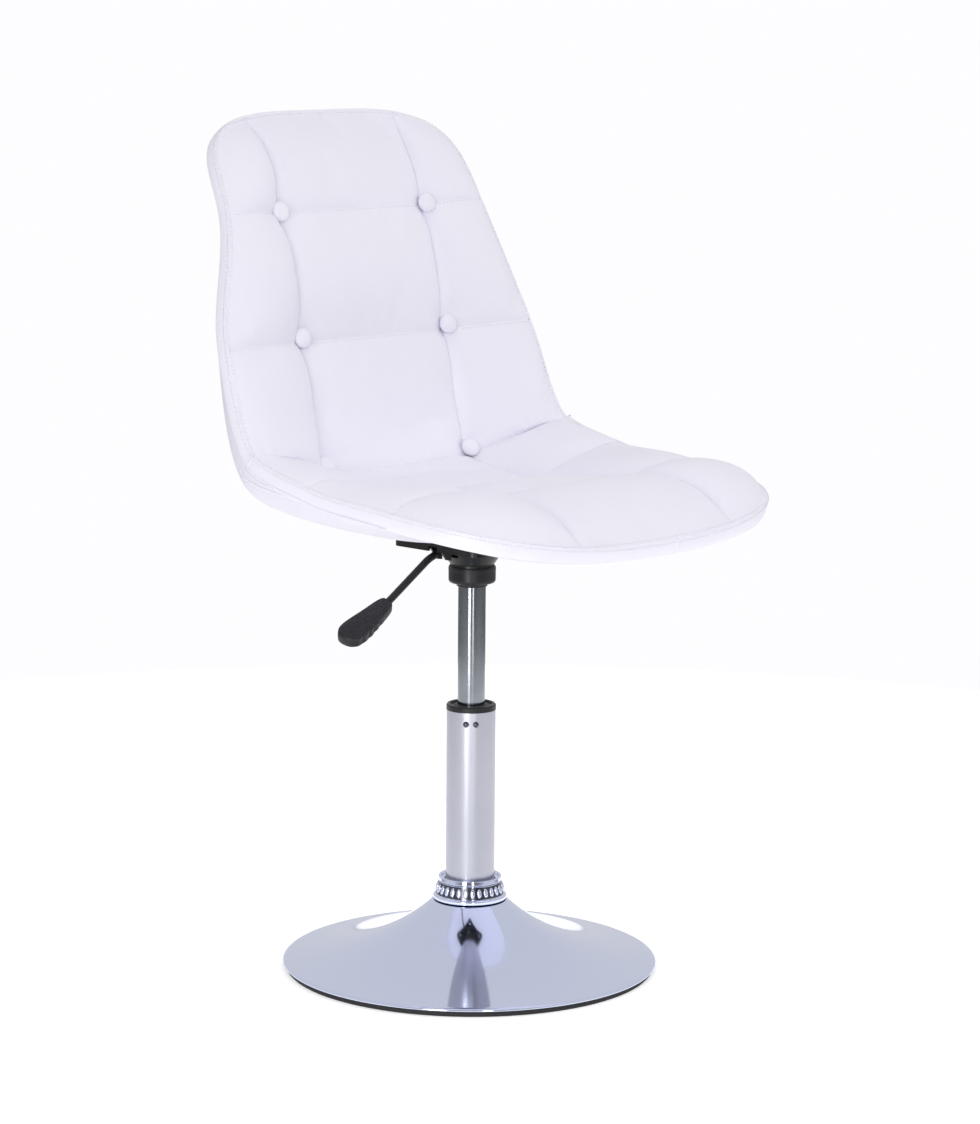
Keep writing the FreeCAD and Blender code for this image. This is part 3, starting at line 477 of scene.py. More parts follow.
def apply_modifiers(piece):
    graph = bpy.context.evaluated_depsgraph_get()
    baked = bpy.data.meshes.new_from_object(piece.evaluated_get(graph))
    old = piece.data
    piece.modifiers.clear()
    piece.data = baked
    bpy.data.meshes.remove(old)


# ---------------------------------------------------------------- materials
def start_material(name, colour, roughness, **fixed):
    material = bpy.data.materials.new(name)
    material.use_nodes = True
    tree = material.node_tree
    shader = tree.nodes["Principled BSDF"]
    shader.inputs["Base Color"].default_value = (*colour, 1.0)
    shader.inputs["Roughness"].default_value = roughness
    for socket, value in fixed.items():
        shader.inputs[socket.replace("_", " ")].default_value = value
    return material, tree, shader


def plug(shader, **sources):
    """Link other nodes' sockets to the shader's, named with underscores for spaces."""
    for socket, source in sources.items():
        shader.id_data.links.new(source, shader.inputs[socket.replace("_", " ")])


def node(tree, kind, sources=None, **values):
    """New node; values set its input sockets, sources links them to other nodes' sockets."""
    made = tree.nodes.new("ShaderNode" + kind)
    for socket, value in values.items():
        made.inputs[socket.replace("_", " ")].default_value = value
    for socket, source in (sources or {}).items():
        tree.links.new(source, made.inputs[socket])
    return made


def object_coordinates(tree, stretch=(1.0, 1.0, 1.0)):
    place = node(tree, "TexCoord")
    scaled = node(tree, "Mapping", {"Vector": place.outputs["Object"]})
    scaled.inputs["Scale"].default_value = stretch
    return scaled.outputs["Vector"]


def ramp(tree, source, low, high, from_low=0.3, from_high=0.7):
    """Two colours, or two greys, mixed by a 0 to 1 source."""
    made = node(tree, "ValToRGB", {"Fac": source})
    first, second = made.color_ramp.elements
    first.position, second.position = from_low, from_high
    first.color = (*low, 1.0) if isinstance(low, tuple) else (low, low, low, 1.0)
    second.color = (*high, 1.0) if isinstance(high, tuple) else (high, high, high, 1.0)
    return made.outputs["Color"]


def bump(tree, height, distance, strength=1.0, under=None):
    made = node(tree, "Bump", {"Height": height}, Distance=distance, Strength=strength)
    if under is not None:
        tree.links.new(under, made.inputs["Normal"])
    return made.outputs["Normal"]


def noise(tree, coordinates, scale, detail=2.0, roughness=0.5):
    made = node(tree, "TexNoise", {"Vector": coordinates}, Scale=scale, Detail=detail, Roughness=roughness)
    return made.outputs["Fac"]


def leather_material(name, light, shade, grain=0.00022):
    """White coated leather: faint mottling, fine pebble grain, soft sheen."""
    material, tree, shader = start_material(name, light, 0.46, Specular_IOR_Level=0.42)
    coordinates = object_coordinates(tree)
    mottle = noise(tree, coordinates, 7.0, 3.0)
    plug(shader, Base_Color=ramp(tree, mottle, shade, light))
    pebble = node(tree, "TexVoronoi", {"Vector": coordinates}, Scale=620.0, Randomness=1.0)
    creases = noise(tree, coordinates, 170.0, 4.0, 0.6)
    soft = bump(tree, creases, 0.00035, 0.35)
    plug(shader, Normal=bump(tree, pebble.outputs["Distance"], grain, 0.5, soft))
    plug(shader, Roughness=ramp(tree, noise(tree, coordinates, 24.0), 0.42, 0.52))
    return material


def thread_material():
    material, tree, shader = start_material("sewing_thread", (0.84, 0.83, 0.89), 0.6)
    coordinates = object_coordinates(tree)
    twist = node(tree, "TexWave", {"Vector": coordinates}, Scale=900.0, Distortion=1.0)
    plug(shader, Base_Color=ramp(tree, twist.outputs["Fac"], (0.80, 0.79, 0.86), (0.88, 0.87, 0.92)))
    plug(shader, Normal=bump(tree, twist.outputs["Fac"], 0.0001, 0.6))
    return material


def chrome_material(name, colour, roughness, smudge):
    """Polished chrome with faint wiping marks."""
    material, tree, shader = start_material(name, colour, roughness, Metallic=1.0)
    coordinates = object_coordinates(tree)
    marks = noise(tree, coordinates, 16.0, 4.0)
    plug(shader, Roughness=ramp(tree, marks, roughness, roughness + smudge))
    plug(shader, Normal=bump(tree, noise(tree, coordinates, 9.0), 0.0004, 0.12))
    return material


def ground_steel_material():
    """Ground cylinder surface: fine rings round the axis and a few stains, in a steel colour darkened to
    paint the dark surroundings that it reflects.
    """
    material, tree, shader = start_material("ground_steel", (0.21, 0.22, 0.25), 0.2, Metallic=1.0)
    rings = noise(tree, object_coordinates(tree, (8.0, 8.0, 2600.0)), 1.0, 3.0)
    stains = noise(tree, object_coordinates(tree, (60.0, 60.0, 25.0)), 1.0, 4.0)
    # Both ends of the stain ramp are kept dark: painted dark reflection in the steel, with the stains varying
    # between them.
    plug(shader, Base_Color=ramp(tree, stains, (0.26, 0.28, 0.31), (0.32, 0.34, 0.37)))
    plug(shader, Roughness=ramp(tree, rings, 0.13, 0.21), Normal=bump(tree, rings, 0.00003, 0.25))
    return material


def tube_chrome_material():
    """Satin plated tube: faint lengthwise polish and light rings."""
    material, tree, shader = start_material("satin_tube", (0.54, 0.55, 0.60), 0.34, Metallic=1.0)
    rings = noise(tree, object_coordinates(tree, (6.0, 6.0, 900.0)), 1.0, 3.0)
    cloud = noise(tree, object_coordinates(tree, (14.0, 14.0, 9.0)), 1.0, 3.0)
    plug(shader, Base_Color=ramp(tree, cloud, (0.47, 0.475, 0.54), (0.52, 0.525, 0.59)))
    plug(shader, Roughness=ramp(tree, rings, 0.28, 0.40), Normal=bump(tree, rings, 0.00004, 0.3))
    return material


def black_material(name, colour, roughness, scale, depth):
    """Black plastic, paint or rubber, which differ in gloss and in the size of their texture."""
    material, tree, shader = start_material(name, colour, roughness, Specular_IOR_Level=0.30)
    coordinates = object_coordinates(tree)
    texture = noise(tree, coordinates, scale, 3.0)
    wear = noise(tree, coordinates, 30.0, 3.0)
    lighter = tuple(1.3 * c + 0.002 for c in colour)
    plug(shader, Base_Color=ramp(tree, wear, colour, lighter))
    plug(shader, Roughness=ramp(tree, wear, roughness - 0.05, roughness + 0.08))
    plug(shader, Normal=bump(tree, texture, depth, 0.5))
    return material


def wood_material():
    material, tree, shader = start_material("birch_plywood", (0.62, 0.47, 0.30), 0.6)
    grain = node(tree, "TexWave", {"Vector": object_coordinates(tree, (9.0, 3.0, 14.0))}, Scale=3.0,
                 Distortion=7.0, Detail=3.0)
    plug(shader, Base_Color=ramp(tree, grain.outputs["Fac"], (0.52, 0.37, 0.22), (0.70, 0.54, 0.35)))
    plug(shader, Normal=bump(tree, grain.outputs["Fac"], 0.0003, 0.4))
    return material


def iron_material():
    material, tree, shader = start_material("cast_iron", (0.09, 0.09, 0.095), 0.7, Metallic=0.6)
    rough = noise(tree, object_coordinates(tree), 320.0, 5.0)
    plug(shader, Base_Color=ramp(tree, rough, (0.07, 0.07, 0.075), (0.13, 0.125, 0.12)))
    plug(shader, Normal=bump(tree, rough, 0.0006, 0.6))
    return material


LEATHER = leather_material("white_leather", (0.875, 0.863, 0.945), (0.855, 0.843, 0.930))
# Darker copy of the white leather: painted shade for the covers behind the back and under the seat.
SHADED_COVER_LEATHER = leather_material("white_leather_painted_shade", (0.80, 0.79, 0.875), (0.775, 0.765, 0.85))
THREAD_FINISH = thread_material()
# Chrome darkened to a base colour of 0.10: painted dark reflection for the collar's belt and the rivet heads.
PAINTED_DARK_CHROME = chrome_material("chrome_painted_dark_reflection", (0.10, 0.10, 0.12), 0.16, 0.1)
CHROME = chrome_material("polished_chrome", (0.69, 0.74, 0.92), 0.05, 0.05)
STEEL = ground_steel_material()
TUBE = tube_chrome_material()
PLASTIC = black_material("black_plastic", (0.012, 0.012, 0.014), 0.36, 1500.0, 0.00008)
GRIP_PLASTIC = black_material("grip_plastic", (0.013, 0.012, 0.015), 0.42, 1300.0, 0.00006)
PAINT = black_material("black_paint", (0.010, 0.010, 0.011), 0.30, 420.0, 0.00006)
RUBBER = black_material("black_rubber", (0.020, 0.020, 0.021), 0.7, 700.0, 0.00012)
WOOD = wood_material()
IRON = iron_material()
SLOT_FINISH = {
    "polished_chrome": CHROME, "tube_chrome": TUBE, "satin_steel": STEEL, "black_plastic": PLASTIC,
    "black_rubber": RUBBER, "black_steel": PAINT, "iron_weight": IRON, "plywood": WOOD,
    "white_leather": LEATHER, "cord": THREAD_FINISH,
}


def dress_cad_nodes():
    """Every CAD node gets the procedural finish of its slot in the record."""
    slots = {row["node"]: row["material_slot"] for row in frame["record"]["subparts"]}
    for name, part in frame["nodes"].items():
        part.data.materials.clear()
        part.data.materials.append(SLOT_FINISH[slots[name]])


# ---------------------------------------------------------------- upholstery
def resample(block):
    """Twice as many points each way through one cell's block of points, by cubic interpolation."""
    for axis in (0, 1):
        block = np.moveaxis(block, axis, 0)
        n = len(block)
        middle = np.empty((n - 1,) + block.shape[1:])
        middle[1:-1] = (-block[:-3] + 9 * block[1:-2] + 9 * block[2:-1] - block[3:]) / 16.0
        middle[0] = (3 * block[0] + 6 * block[1] - block[2]) / 8.0
        middle[-1] = (3 * block[-1] + 6 * block[-2] - block[-3]) / 8.0
        finer = np.empty((2 * n - 1,) + block.shape[1:])
        finer[0::2], finer[1::2] = block, middle
        block = np.moveaxis(finer, 0, axis)
    return block


def refine(points, row_marks, column_marks):
    """Refine a grid cell by cell, so that the seams between cells stay creased."""
    strips = []
    for i in range(len(row_marks) - 1):
        strip = []
        for j in range(len(column_marks) - 1):
            cell_columns = slice(column_marks[j], column_marks[j + 1] + 1)
            block = resample(points[row_marks[i]:row_marks[i + 1] + 1, cell_columns])
            strip.append(block if j == len(column_marks) - 2 else block[:, :-1])
        strip = np.concatenate(strip, axis=1)
        strips.append(strip if i == len(row_marks) - 2 else strip[:-1])
    return np.concatenate(strips, axis=0)


def crown(s, x):
    """1 in the middle of the panel, falling to 0 at its sides and ends."""
    width = along(s)[:, 2]
    across = np.maximum(0.0, 1.0 - (np.abs(x) / (width - 0.004)) ** 2)
    ends = np.maximum(0.0, 1.0 - np.abs(2.0 * s / LENGTH - 1.0) ** 4)
    return across * ends


def pad_low(s, x):
    return -PAD_EDGE - PAD_BELLY * crown(s, x)


def grid_edge(rows, columns):
    """Indices round a grid's border, in order."""
    top = [(0, j) for j in range(columns)]
    right = [(i, columns - 1) for i in range(1, rows)]
    bottom = [(rows - 1, j) for j in range(columns - 2, -1, -1)]
    left = [(i, 0) for i in range(rows - 2, 0, -1)]
    return [i * columns + j for i, j in top + right + bottom + left]


def closed_pad(name, points, places, low, sharp_rows=(), sharp_columns=()):
    """Closed body from a skin grid: a wall below its border and a plain underside.

    places holds each skin point's (s, x); low gives the underside's offset at (s, x)."""
    rows, columns = points.shape[:2]
    verts = [points.reshape(-1, 3)]
    faces = [tuple(reversed(face)) for face in grid_faces(rows, columns)]
    border = np.array(grid_edge(rows, columns))
    flat = places.reshape(-1, 2)[border]
    centre = flat.mean(axis=0)
    ring, count = list(border), rows * columns
    for share in (1.0, 0.93, 0.75, 0.4, 0.02):
        at = centre + (flat - centre) * share
        verts.append(panel(at[:, 0], at[:, 1], low(at[:, 0], at[:, 1])))
        new = list(range(count, count + len(border)))
        count += len(border)
        for a in range(len(border)):
            b = (a + 1) % len(border)
            faces.append((ring[a], ring[b], new[b], new[a]))
        ring = new
    faces.append(tuple(ring))
    piece = new_object(name, np.concatenate(verts), faces)
    flip_outward(piece)
    mark_sharp(piece, rows, columns, sharp_rows, sharp_columns)
    return piece


def mark_sharp(piece, rows, columns, sharp_rows, sharp_columns):
    """Sharp edges along the sewn seams of the skin grid and round its border."""
    attribute = piece.data.attributes.new("sharp_edge", "BOOLEAN", "EDGE")
    ends = np.zeros(len(piece.data.edges) * 2, int)
    piece.data.edges.foreach_get("vertices", ends)
    ends = ends.reshape(-1, 2)
    skin = (ends < rows * columns).all(axis=1)
    row, column = ends // columns, ends % columns
    same_row, same_column = row[:, 0] == row[:, 1], column[:, 0] == column[:, 1]
    sharp = skin & ((same_row & np.isin(row[:, 0], [0, rows - 1, *sharp_rows]))
                    | (same_column & np.isin(column[:, 0], [0, columns - 1, *sharp_columns])))
    attribute.data.foreach_set("value", sharp)


def inflate(points, pinned):
    """Blow up a pinned sheet of leather with the cloth solver and return its new points."""
    rows, columns = points.shape[:2]
    faces = [tuple(reversed(face)) for face in grid_faces(rows, columns)]
    sheet = new_object("leather_sheet", points.reshape(-1, 3), faces)
    held = sheet.vertex_groups.new(name="held")
    held.add([int(i) for i in np.flatnonzero(pinned.ravel())], 1.0, "REPLACE")
    cloth = sheet.modifiers.new("Cloth", "CLOTH")
    settings = cloth.settings
    settings.quality = 6
    settings.mass = 0.25
    settings.air_damping = 4.0
    settings.tension_stiffness = 22.0
    settings.compression_stiffness = 10.0
    settings.shear_stiffness = 9.0
    settings.bending_stiffness = 3.0
    settings.shrink_min = CLOTH_SLACK
    settings.vertex_group_mass = "held"
    settings.pin_stiffness = 1.0
    settings.use_pressure = True
    settings.uniform_pressure_force = CLOTH_PRESSURE
    settings.use_pressure_volume = True
    settings.target_volume = 0.00001
    settings.effector_weights.gravity = 0.0
    cloth.collision_settings.use_collision = False
    scene = bpy.context.scene
    scene.frame_start, scene.frame_end = 1, CLOTH_FRAMES
    for frame_number in range(1, CLOTH_FRAMES + 1):
        scene.frame_set(frame_number)
    apply_modifiers(sheet)
    moved = np.empty(len(sheet.data.vertices) * 3)
    sheet.data.vertices.foreach_get("co", moved)
    scene.frame_set(1)
    bpy.data.objects.remove(sheet)
    return moved.reshape(points.shape)


def quilted_pads():
    """Back and seat pads of the quilted panel; returns each one's refined skin points and places."""
    grid = quilt_grid()
    columns = column_counts()
    rows = row_counts()
    column_marks = [0, columns[0] - 1, columns[0] + columns[1] - 2, sum(columns) - 3]
    row_marks = [0]
    for count in rows:
        row_marks.append(row_marks[-1] + count - 1)
    offset = quilt_offset(grid)
    flat = grid.reshape(-1, grid.shape[2])
    points = panel(flat[:, 0], flat[:, 1], offset.ravel()).reshape(*grid.shape[:2], 3)
    seams = np.zeros(points.shape[:2], bool)
    seams[row_marks] = True
    seams[:, column_marks] = True
    moved = inflate(points, seams)
    step = moved - points
    size = np.linalg.norm(step, axis=2, keepdims=True)
    points = points + MOVE_SHARE * step * np.minimum(1.0, MOVE_CAP / np.maximum(size, 1e-9))
    halves = {}
    for name, node_name, first, last in (("back_quilt", "back_cushion", 0, CREASE),
                                         ("seat_quilt", "seat_cushion", CREASE, ROWS)):
        start, stop = row_marks[first], row_marks[last]
        marks = [m - start for m in row_marks[first:last + 1]]
        skin = refine(points[start:stop + 1], marks, column_marks)
        places = refine(grid[start:stop + 1, :, :2], marks, column_marks)
        piece = closed_pad(name, skin, places, pad_low, [2 * m for m in marks[1:-1]],
                           [2 * m for m in column_marks[1:-1]])
        finish_piece(piece, "seat", LEATHER, "white_leather", node_name)
        halves[name] = (skin, places)
    return halves


def outline():
    """The border of the back and of the seat as (s, x), each from one end of the crease to the other."""
    corner = RUNS[CREASE]
    loops = {}
    for part, top in (("back", True), ("seat", False)):
        end_x = TOP_CORNER_X if top else FRONT_CORNER_X
        left = outline_side(corner, end_distance(end_x, top), 300, -1)
        across = outline_end(-end_x, end_x, 300, top)
        right = outline_side(end_distance(end_x, top), corner, 300, 1)
        loops[part] = even(np.concatenate([left[:-1], across, right[1:]]), OUTLINE_POINTS)
    return loops


def band_low(s, x):
    return pad_low(s, x) - BAND_DEPTH


def cover_low(s, x):
    """Outside of the covers, as an offset: a full middle, and a bulge round the outside of the bend."""
    full = crown(s, x)
    bend = BEND_EXTRA * np.exp(-((s - BEND_AT) / np.where(s > BEND_AT, BEND_AHEAD, BEND_BEHIND)) ** 2)
    width = np.array([half_width(v) for v in np.atleast_1d(s)])
    tuck = 1.0 - np.exp(-np.maximum(width - np.abs(x), 0.0) / COVER_TUCK)
    return band_low(s, x) - BELLY * full - bend * (1.0 - full) * tuck


def outward(route):
    """Unit direction in (s, x) that points out of the panel at each place of a border route."""
    ahead = np.gradient(route, axis=0)
    turn = np.stack([-ahead[:, 1], ahead[:, 0]], axis=1)
    turn /= np.linalg.norm(turn, axis=1)[:, None]
    flip = np.sign(np.sum(turn * (route - np.array([RUNS[CREASE], 0.0])), axis=1))
    return turn * np.where(np.median(flip) < 0, -1.0, 1.0)


def border_band(name, node_name, route):
    """Boxing strip round a border: a closed strip with rolled edges, slightly full between its seams."""
    out = outward(route)
    section = []
    for t in np.linspace(0.0, 1.0, 11):
        section.append((t, BAND_PROUD * math.sin(math.pi * t) ** 0.6 - BAND_TUCK))
    for t in (1.0, 0.66, 0.33, 0.0):
        section.append((t, -BAND_INSIDE))
    low = band_low(route[:, 0], route[:, 1]) - BAND_LAP
    extra = TOP_PROUD * np.exp(-(route[:, 0] / TOP_REACH) ** 2)
    rings = []
    for t, proud in section:
        at = route + out * (proud + extra)[:, None]
        rings.append(panel(at[:, 0], at[:, 1], low * t))
    points = np.stack(rings, axis=1)
    count, across = points.shape[:2]
    faces = grid_faces(count, across, closed=True)
    faces += [tuple(range(across)), tuple(range((count - 1) * across, count * across))[::-1]]
    add_piece(name, points.reshape(-1, 3), faces, "seat", LEATHER, "white_leather", node_name, sharp=50)


def cover(name, node_name, behind_back):
    """Padded cover behind the back or under the seat."""
    u = np.sin(0.5 * math.pi * np.linspace(-1.0, 1.0, COVER_COLUMNS))
    turn = 0.5 * math.pi * np.linspace(0.0, 1.0, COVER_ROWS)
    corner, gaps = RUNS[CREASE], END_GAP + CREASE_GAP
    if behind_back:
        s = END_GAP + (corner - gaps) * (1.0 - np.cos(turn))
    else:
        s = corner + CREASE_GAP + (LENGTH - corner - gaps) * np.sin(turn)
    grid = np.stack([np.broadcast_to(s[:, None], (COVER_ROWS, COVER_COLUMNS)),
                     np.stack([u * (half_width(v) - SIDE_GAP) for v in s])], axis=2)
    flat = grid.reshape(-1, 2)
    low = cover_low(flat[:, 0], flat[:, 1])
    points = panel(flat[:, 0], flat[:, 1], low).reshape(COVER_ROWS, COVER_COLUMNS, 3)
    if not behind_back:
        plate_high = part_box("seat_plate")[1]
        inside = np.abs(points[..., :2]).max(axis=2) < plate_high.x + PLATE_ROOM
        clear = np.maximum(points[..., 2], plate_high.z + PLATE_CLEAR)
        points[..., 2] = np.where(inside, clear, points[..., 2])
    piece = closed_pad(name, points, grid, lambda a, b: pad_low(a, b) - COVER_RIM)
    # The covers take the darker leather copy, which paints the shade on their faces turned back and down.
    finish_piece(piece, "seat", SHADED_COVER_LEATHER, "white_leather", node_name)


def band_joints(route):
    """Short upright seams where the boxing strips are joined: at the crease and the middle of the front."""
    out = outward(route)
    count = 40
    faces = grid_faces(count, len(JOINT_SECTION), closed=True)
    seams = []
    past_middle = len(route) // 2 + 8
    for at in (3, past_middle, len(route) - 4):
        s, x = route[at]
        depth = float(band_low(s, x)[0]) * np.linspace(0.03, 0.97, count)
        inner = np.tile(route[at] + out[at] * BAND_PROUD, (count, 1))
        outer = np.tile(route[at] + out[at] * (BAND_PROUD + 0.001), (count, 1))
        line = panel(inner[:, 0], inner[:, 1], depth)
        normals = panel(outer[:, 0], outer[:, 1], depth) - line
        normals /= np.linalg.norm(normals, axis=1)[:, None]
        side = np.cross(normals, np.gradient(line, axis=0))
        side /= np.linalg.norm(side, axis=1)[:, None]
        ridge = [line + side * across + normals * proud for across, proud in JOINT_SECTION]
        seams.append((np.stack(ridge, axis=1).reshape(-1, 3), faces))
    add_piece("band_joint_seams", *merge(seams), "seat", LEATHER, "white_leather")


def piping_cord(path, radius, sides=10):
    """Verts and faces of a round leather piping along a path of points, tapered to nothing at both ends."""
    ahead = np.gradient(path, axis=0)
    ahead /= np.linalg.norm(ahead, axis=1)[:, None]
    side = np.cross(ahead, (0.0, 0.0, 1.0))
    side /= np.linalg.norm(side, axis=1)[:, None]
    up = np.cross(side, ahead)
    taper = np.sin(math.pi * np.linspace(0.02, 0.98, len(path))) ** 0.3
    rings = []
    for point, a, b, share in zip(path, side, up, taper):
        angles = [math.tau * k / sides for k in range(sides)]
        rings.append(np.array([point + radius * share * (math.cos(t) * a + math.sin(t) * b) for t in angles]))
    return ring_mesh(rings)


def cover_welts():
    """Welted folds of the under cover beside the crease, three on each side."""
    cords = []
    t = np.linspace(0.0, 1.0, 70)
    for sign in (-1, 1):
        for begin, end, inset in WELTS:
            s = np.linspace(begin, end, len(t))
            x = sign * (np.array([half_width(v) for v in s]) - inset * (1.0 - t) + WELT_PROUD)
            cords.append(piping_cord(panel(s, x, cover_low(s, x) - WELT_DROP), WELT_RADIUS))
    add_piece("cover_welts", *merge(cords), "seat", LEATHER, "white_leather")


def button_places():
    for k in (1, 2, 3):
        for sign in (-1, 1):
            foot = panel(RUNS[k], sign * SEAM_HALF, 0.0)[0]
            tip = panel(RUNS[k], sign * SEAM_HALF, 0.01)[0]
            normal = (tip - foot) / np.linalg.norm(tip - foot)
            yield foot, normal


def frame_of(normal):
    """Two unit directions across a normal."""
    side = np.cross(normal, (0.0, 0.0, 1.0))
    if np.linalg.norm(side) < 0.2:
        side = np.cross(normal, (0.0, 1.0, 0.0))
    side /= np.linalg.norm(side)
    return side, np.cross(normal, side)


def tuft_buttons():
    """Covered buttons: a domed cap drawn over a shell, gathered under its rim."""
    rng = random.Random(7)
    buttons = []
    steps = 56
    for foot, normal in button_places():
        side, up = frame_of(normal)
        phase = rng.uniform(0, math.tau)
        rings = []
        for share, height in BUTTON_DOME:
            gather = GATHER_DEPTH if height < 0.001 else 0.0
            ring = []
            for k in range(steps):
                angle = math.tau * k / steps
                radius = BUTTON_RADIUS * share * (1 + gather * math.sin(GATHERS * angle + phase))
                ring.append(foot + normal * height + radius * (math.cos(angle) * side + math.sin(angle) * up))
            rings.append(np.array(ring))
        buttons.append(ring_mesh(rings))
    add_piece("covered_buttons", *merge(buttons), "seat", LEATHER, "white_leather", "tuft_buttons")


def capsule(start, end, normal, radius, sides=6):
    """Rings of one stitch: a short thread bowed a little out of the leather."""
    axis = end - start
    length = np.linalg.norm(axis)
    axis = axis / length
    side = np.cross(axis, normal)
    angles = [math.tau * k / sides for k in range(sides)]
    spokes = np.array([math.cos(a) * side + math.sin(a) * normal for a in angles])
    rings = []
    for t, share in ((0.0, 0.35), (0.12, 0.85), (0.5, 1.0), (0.88, 0.85), (1.0, 0.35)):
        centre = start + axis * length * t + normal * radius * (1.6 * math.sin(math.pi * t) - 0.7)
        rings.append(centre + radius * share * spokes)
    return ring_mesh(rings)


def stitch_row(path, normals):
    """Stitches laid along a path of points, one every STITCH_PITCH."""
    run = path_run(path)
    stitches = []
    for k in range(int(run[-1] / STITCH_PITCH)):
        a = (k + 0.15) * STITCH_PITCH
        ends = sample((a, a + STITCH_LENGTH), run, path)
        normal = sample(a, run, normals)
        stitches.append(capsule(*ends, normal / np.linalg.norm(normal), THREAD))
    return merge(stitches)


def join_rows(name, rows):
    finish_piece(new_object(name, *merge(rows)), "seat", THREAD_FINISH, "cord")


def grid_normals(points):
    across = np.gradient(points, axis=1)
    down = np.gradient(points, axis=0)
    normal = np.cross(down, across)
    return normal / np.linalg.norm(normal, axis=2, keepdims=True)


def seam_stitches(halves):
    """Topstitching beside the cross seams and along the long seams of each pad."""
    counts, columns = row_counts(), column_counts()
    for name, (skin, _) in halves.items():
        normals = grid_normals(skin)
        first = 0 if name == "back_quilt" else CREASE
        marks = [0]
        for count in counts[first:first + 3]:
            marks.append(marks[-1] + 2 * (count - 1))
        rows = []
        for mark in marks[1:-1]:
            rows.append(stitch_row(skin[mark + 1], normals[mark + 1]))
        long_marks = [2 * (columns[0] - 1), 2 * (columns[0] + columns[1] - 2)]
        for mark in long_marks:
            rows.append(stitch_row(skin[:, mark], normals[:, mark]))
        join_rows(name.replace("quilt", "seam_stitches"), rows)


def inner_ring(skin, first):
    """Path inside the border of one pad, between the skin's second and third lines, crease left out."""
    lines = []
    for step in (1, 2):
        left, right = skin[:, step], skin[:, -1 - step]
        if first:
            left, right = left[step:], right[step:]
            lines.append((left[::-1], skin[step, step:skin.shape[1] - step], right))
        else:
            end = len(left) - step
            left, right = left[:end], right[:end]
            lines.append((left, skin[-1 - step, step:skin.shape[1] - step], right[::-1]))
    rings = []
    for left, across, right in lines:
        ring = np.concatenate([left, across[1:-1], right])
        rings.append(even(ring, RING_POINTS))
    return 0.4 * rings[0] + 0.6 * rings[1]


def border_stitches(halves, loops):
    """Two rows of topstitching, one each side of the border seam."""
    for part, route in loops.items():
        out = outward(route)
        skin, _ = halves[part + "_quilt"]
        inner = inner_ring(skin, part == "back")
        face = panel(route[:, 0], route[:, 1], 0.01) - panel(route[:, 0], route[:, 1], 0.0)
        run = np.linspace(0.0, 1.0, len(inner))
        old = np.linspace(0.0, 1.0, len(face))
        normals = sample(run, old, face)
        rows = [stitch_row(inner, normals)]
        outer = route + out * (BAND_PROUD * BORDER_SHARE)
        path = panel(outer[:, 0], outer[:, 1], -BORDER_ROW)
        away = route + out * (BAND_PROUD * BORDER_SHARE + 0.001)
        rows.append(stitch_row(path, panel(away[:, 0], away[:, 1], -BORDER_ROW) - path))
        join_rows(part + "_border_stitches", rows)


# ---------------------------------------------------------------- turned parts
def fillet_loop(corners):
    """Closed profile from corners (radius, height, fillet); fillets become arcs with a support each side."""
    profile = []
    count = len(corners)
    for i, (r, z, fillet) in enumerate(corners):
        here = np.array((r, z))
        if fillet <= 0:
            profile.append(here)
            continue
        before = np.array(corners[i - 1][:2]) - here
        after = np.array(corners[(i + 1) % count][:2]) - here
        size_a, size_b = np.linalg.norm(before), np.linalg.norm(after)
        before, after = before / size_a, after / size_b
        half = 0.5 * math.acos(max(-1.0, min(1.0, float(before @ after))))
        reach = min(fillet / math.tan(half), 0.45 * size_a, 0.45 * size_b)
        for t in np.linspace(0.0, 1.0, 6):
            point = here + (1 - t) ** 2 * reach * before + t ** 2 * reach * after
            if t in (0.0, 1.0):
                edge = before if t == 0.0 else after
                support = here + edge * (reach + min(0.0004, 0.2 * reach))
                profile += [support, point] if t == 0.0 else [point, support]
            else:
                profile.append(point)
    return profile


def lathe(name, profile, segments, *finish):
    """Turn a closed profile of (radius, height) about the column's axis."""
    profile = np.array(profile, float)
    angles = np.linspace(0.0, math.tau, segments, endpoint=False)
    rings = [np.stack([profile[:, 0] * math.cos(a), profile[:, 0] * math.sin(a), profile[:, 1]], axis=1)
             for a in angles]
    count = len(profile)
    faces = []
    for i in range(segments):
        k = (i + 1) % segments
        for j in range(count):
            m = (j + 1) % count
            faces.append((i * count + j, k * count + j, k * count + m, i * count + m))
    add_piece(name, np.concatenate(rings), faces, *finish)


def flare_height(radius):
    fall = math.exp(-(BASE_RADIUS - NECK_RADIUS) / FLARE_DECAY)
    scale = (NECK_TOP - BASE_EDGE_TOP) / (1.0 - fall)
    return NECK_TOP - scale * (1.0 - math.exp(-(radius - NECK_RADIUS) / FLARE_DECAY))


def trumpet_base():
    """Spun chrome base with a rolled edge."""
    edge = BASE_RADIUS - 0.003
    radii = np.linspace(NECK_RADIUS, edge, 60)
    top = [(r, flare_height(r)) for r in radii]
    lip = [(BASE_RADIUS - 0.0012, BASE_EDGE_TOP - 0.0006), (BASE_RADIUS - 0.0003, BASE_EDGE_TOP - 0.0014),
           (BASE_RADIUS, BASE_EDGE_TOP - 0.0022), (BASE_RADIUS - 0.0003, 0.0064),
           (BASE_RADIUS - 0.0008, 0.006), (edge, 0.006)]
    under = [(r, flare_height(r) - SHEET) for r in radii[::-1]]
    lathe("chrome_base", top + lip + under, 256, "base", CHROME, "polished_chrome", "base_trumpet")


def dust_cup():
    """Moulded cup under the seat plate, with a soft lower edge and a lip round the cylinder."""
    lathe("dust_cup_shell", fillet_loop(CUP_PROFILE), 96, "seat", PLASTIC, "black_plastic", "dust_cup")


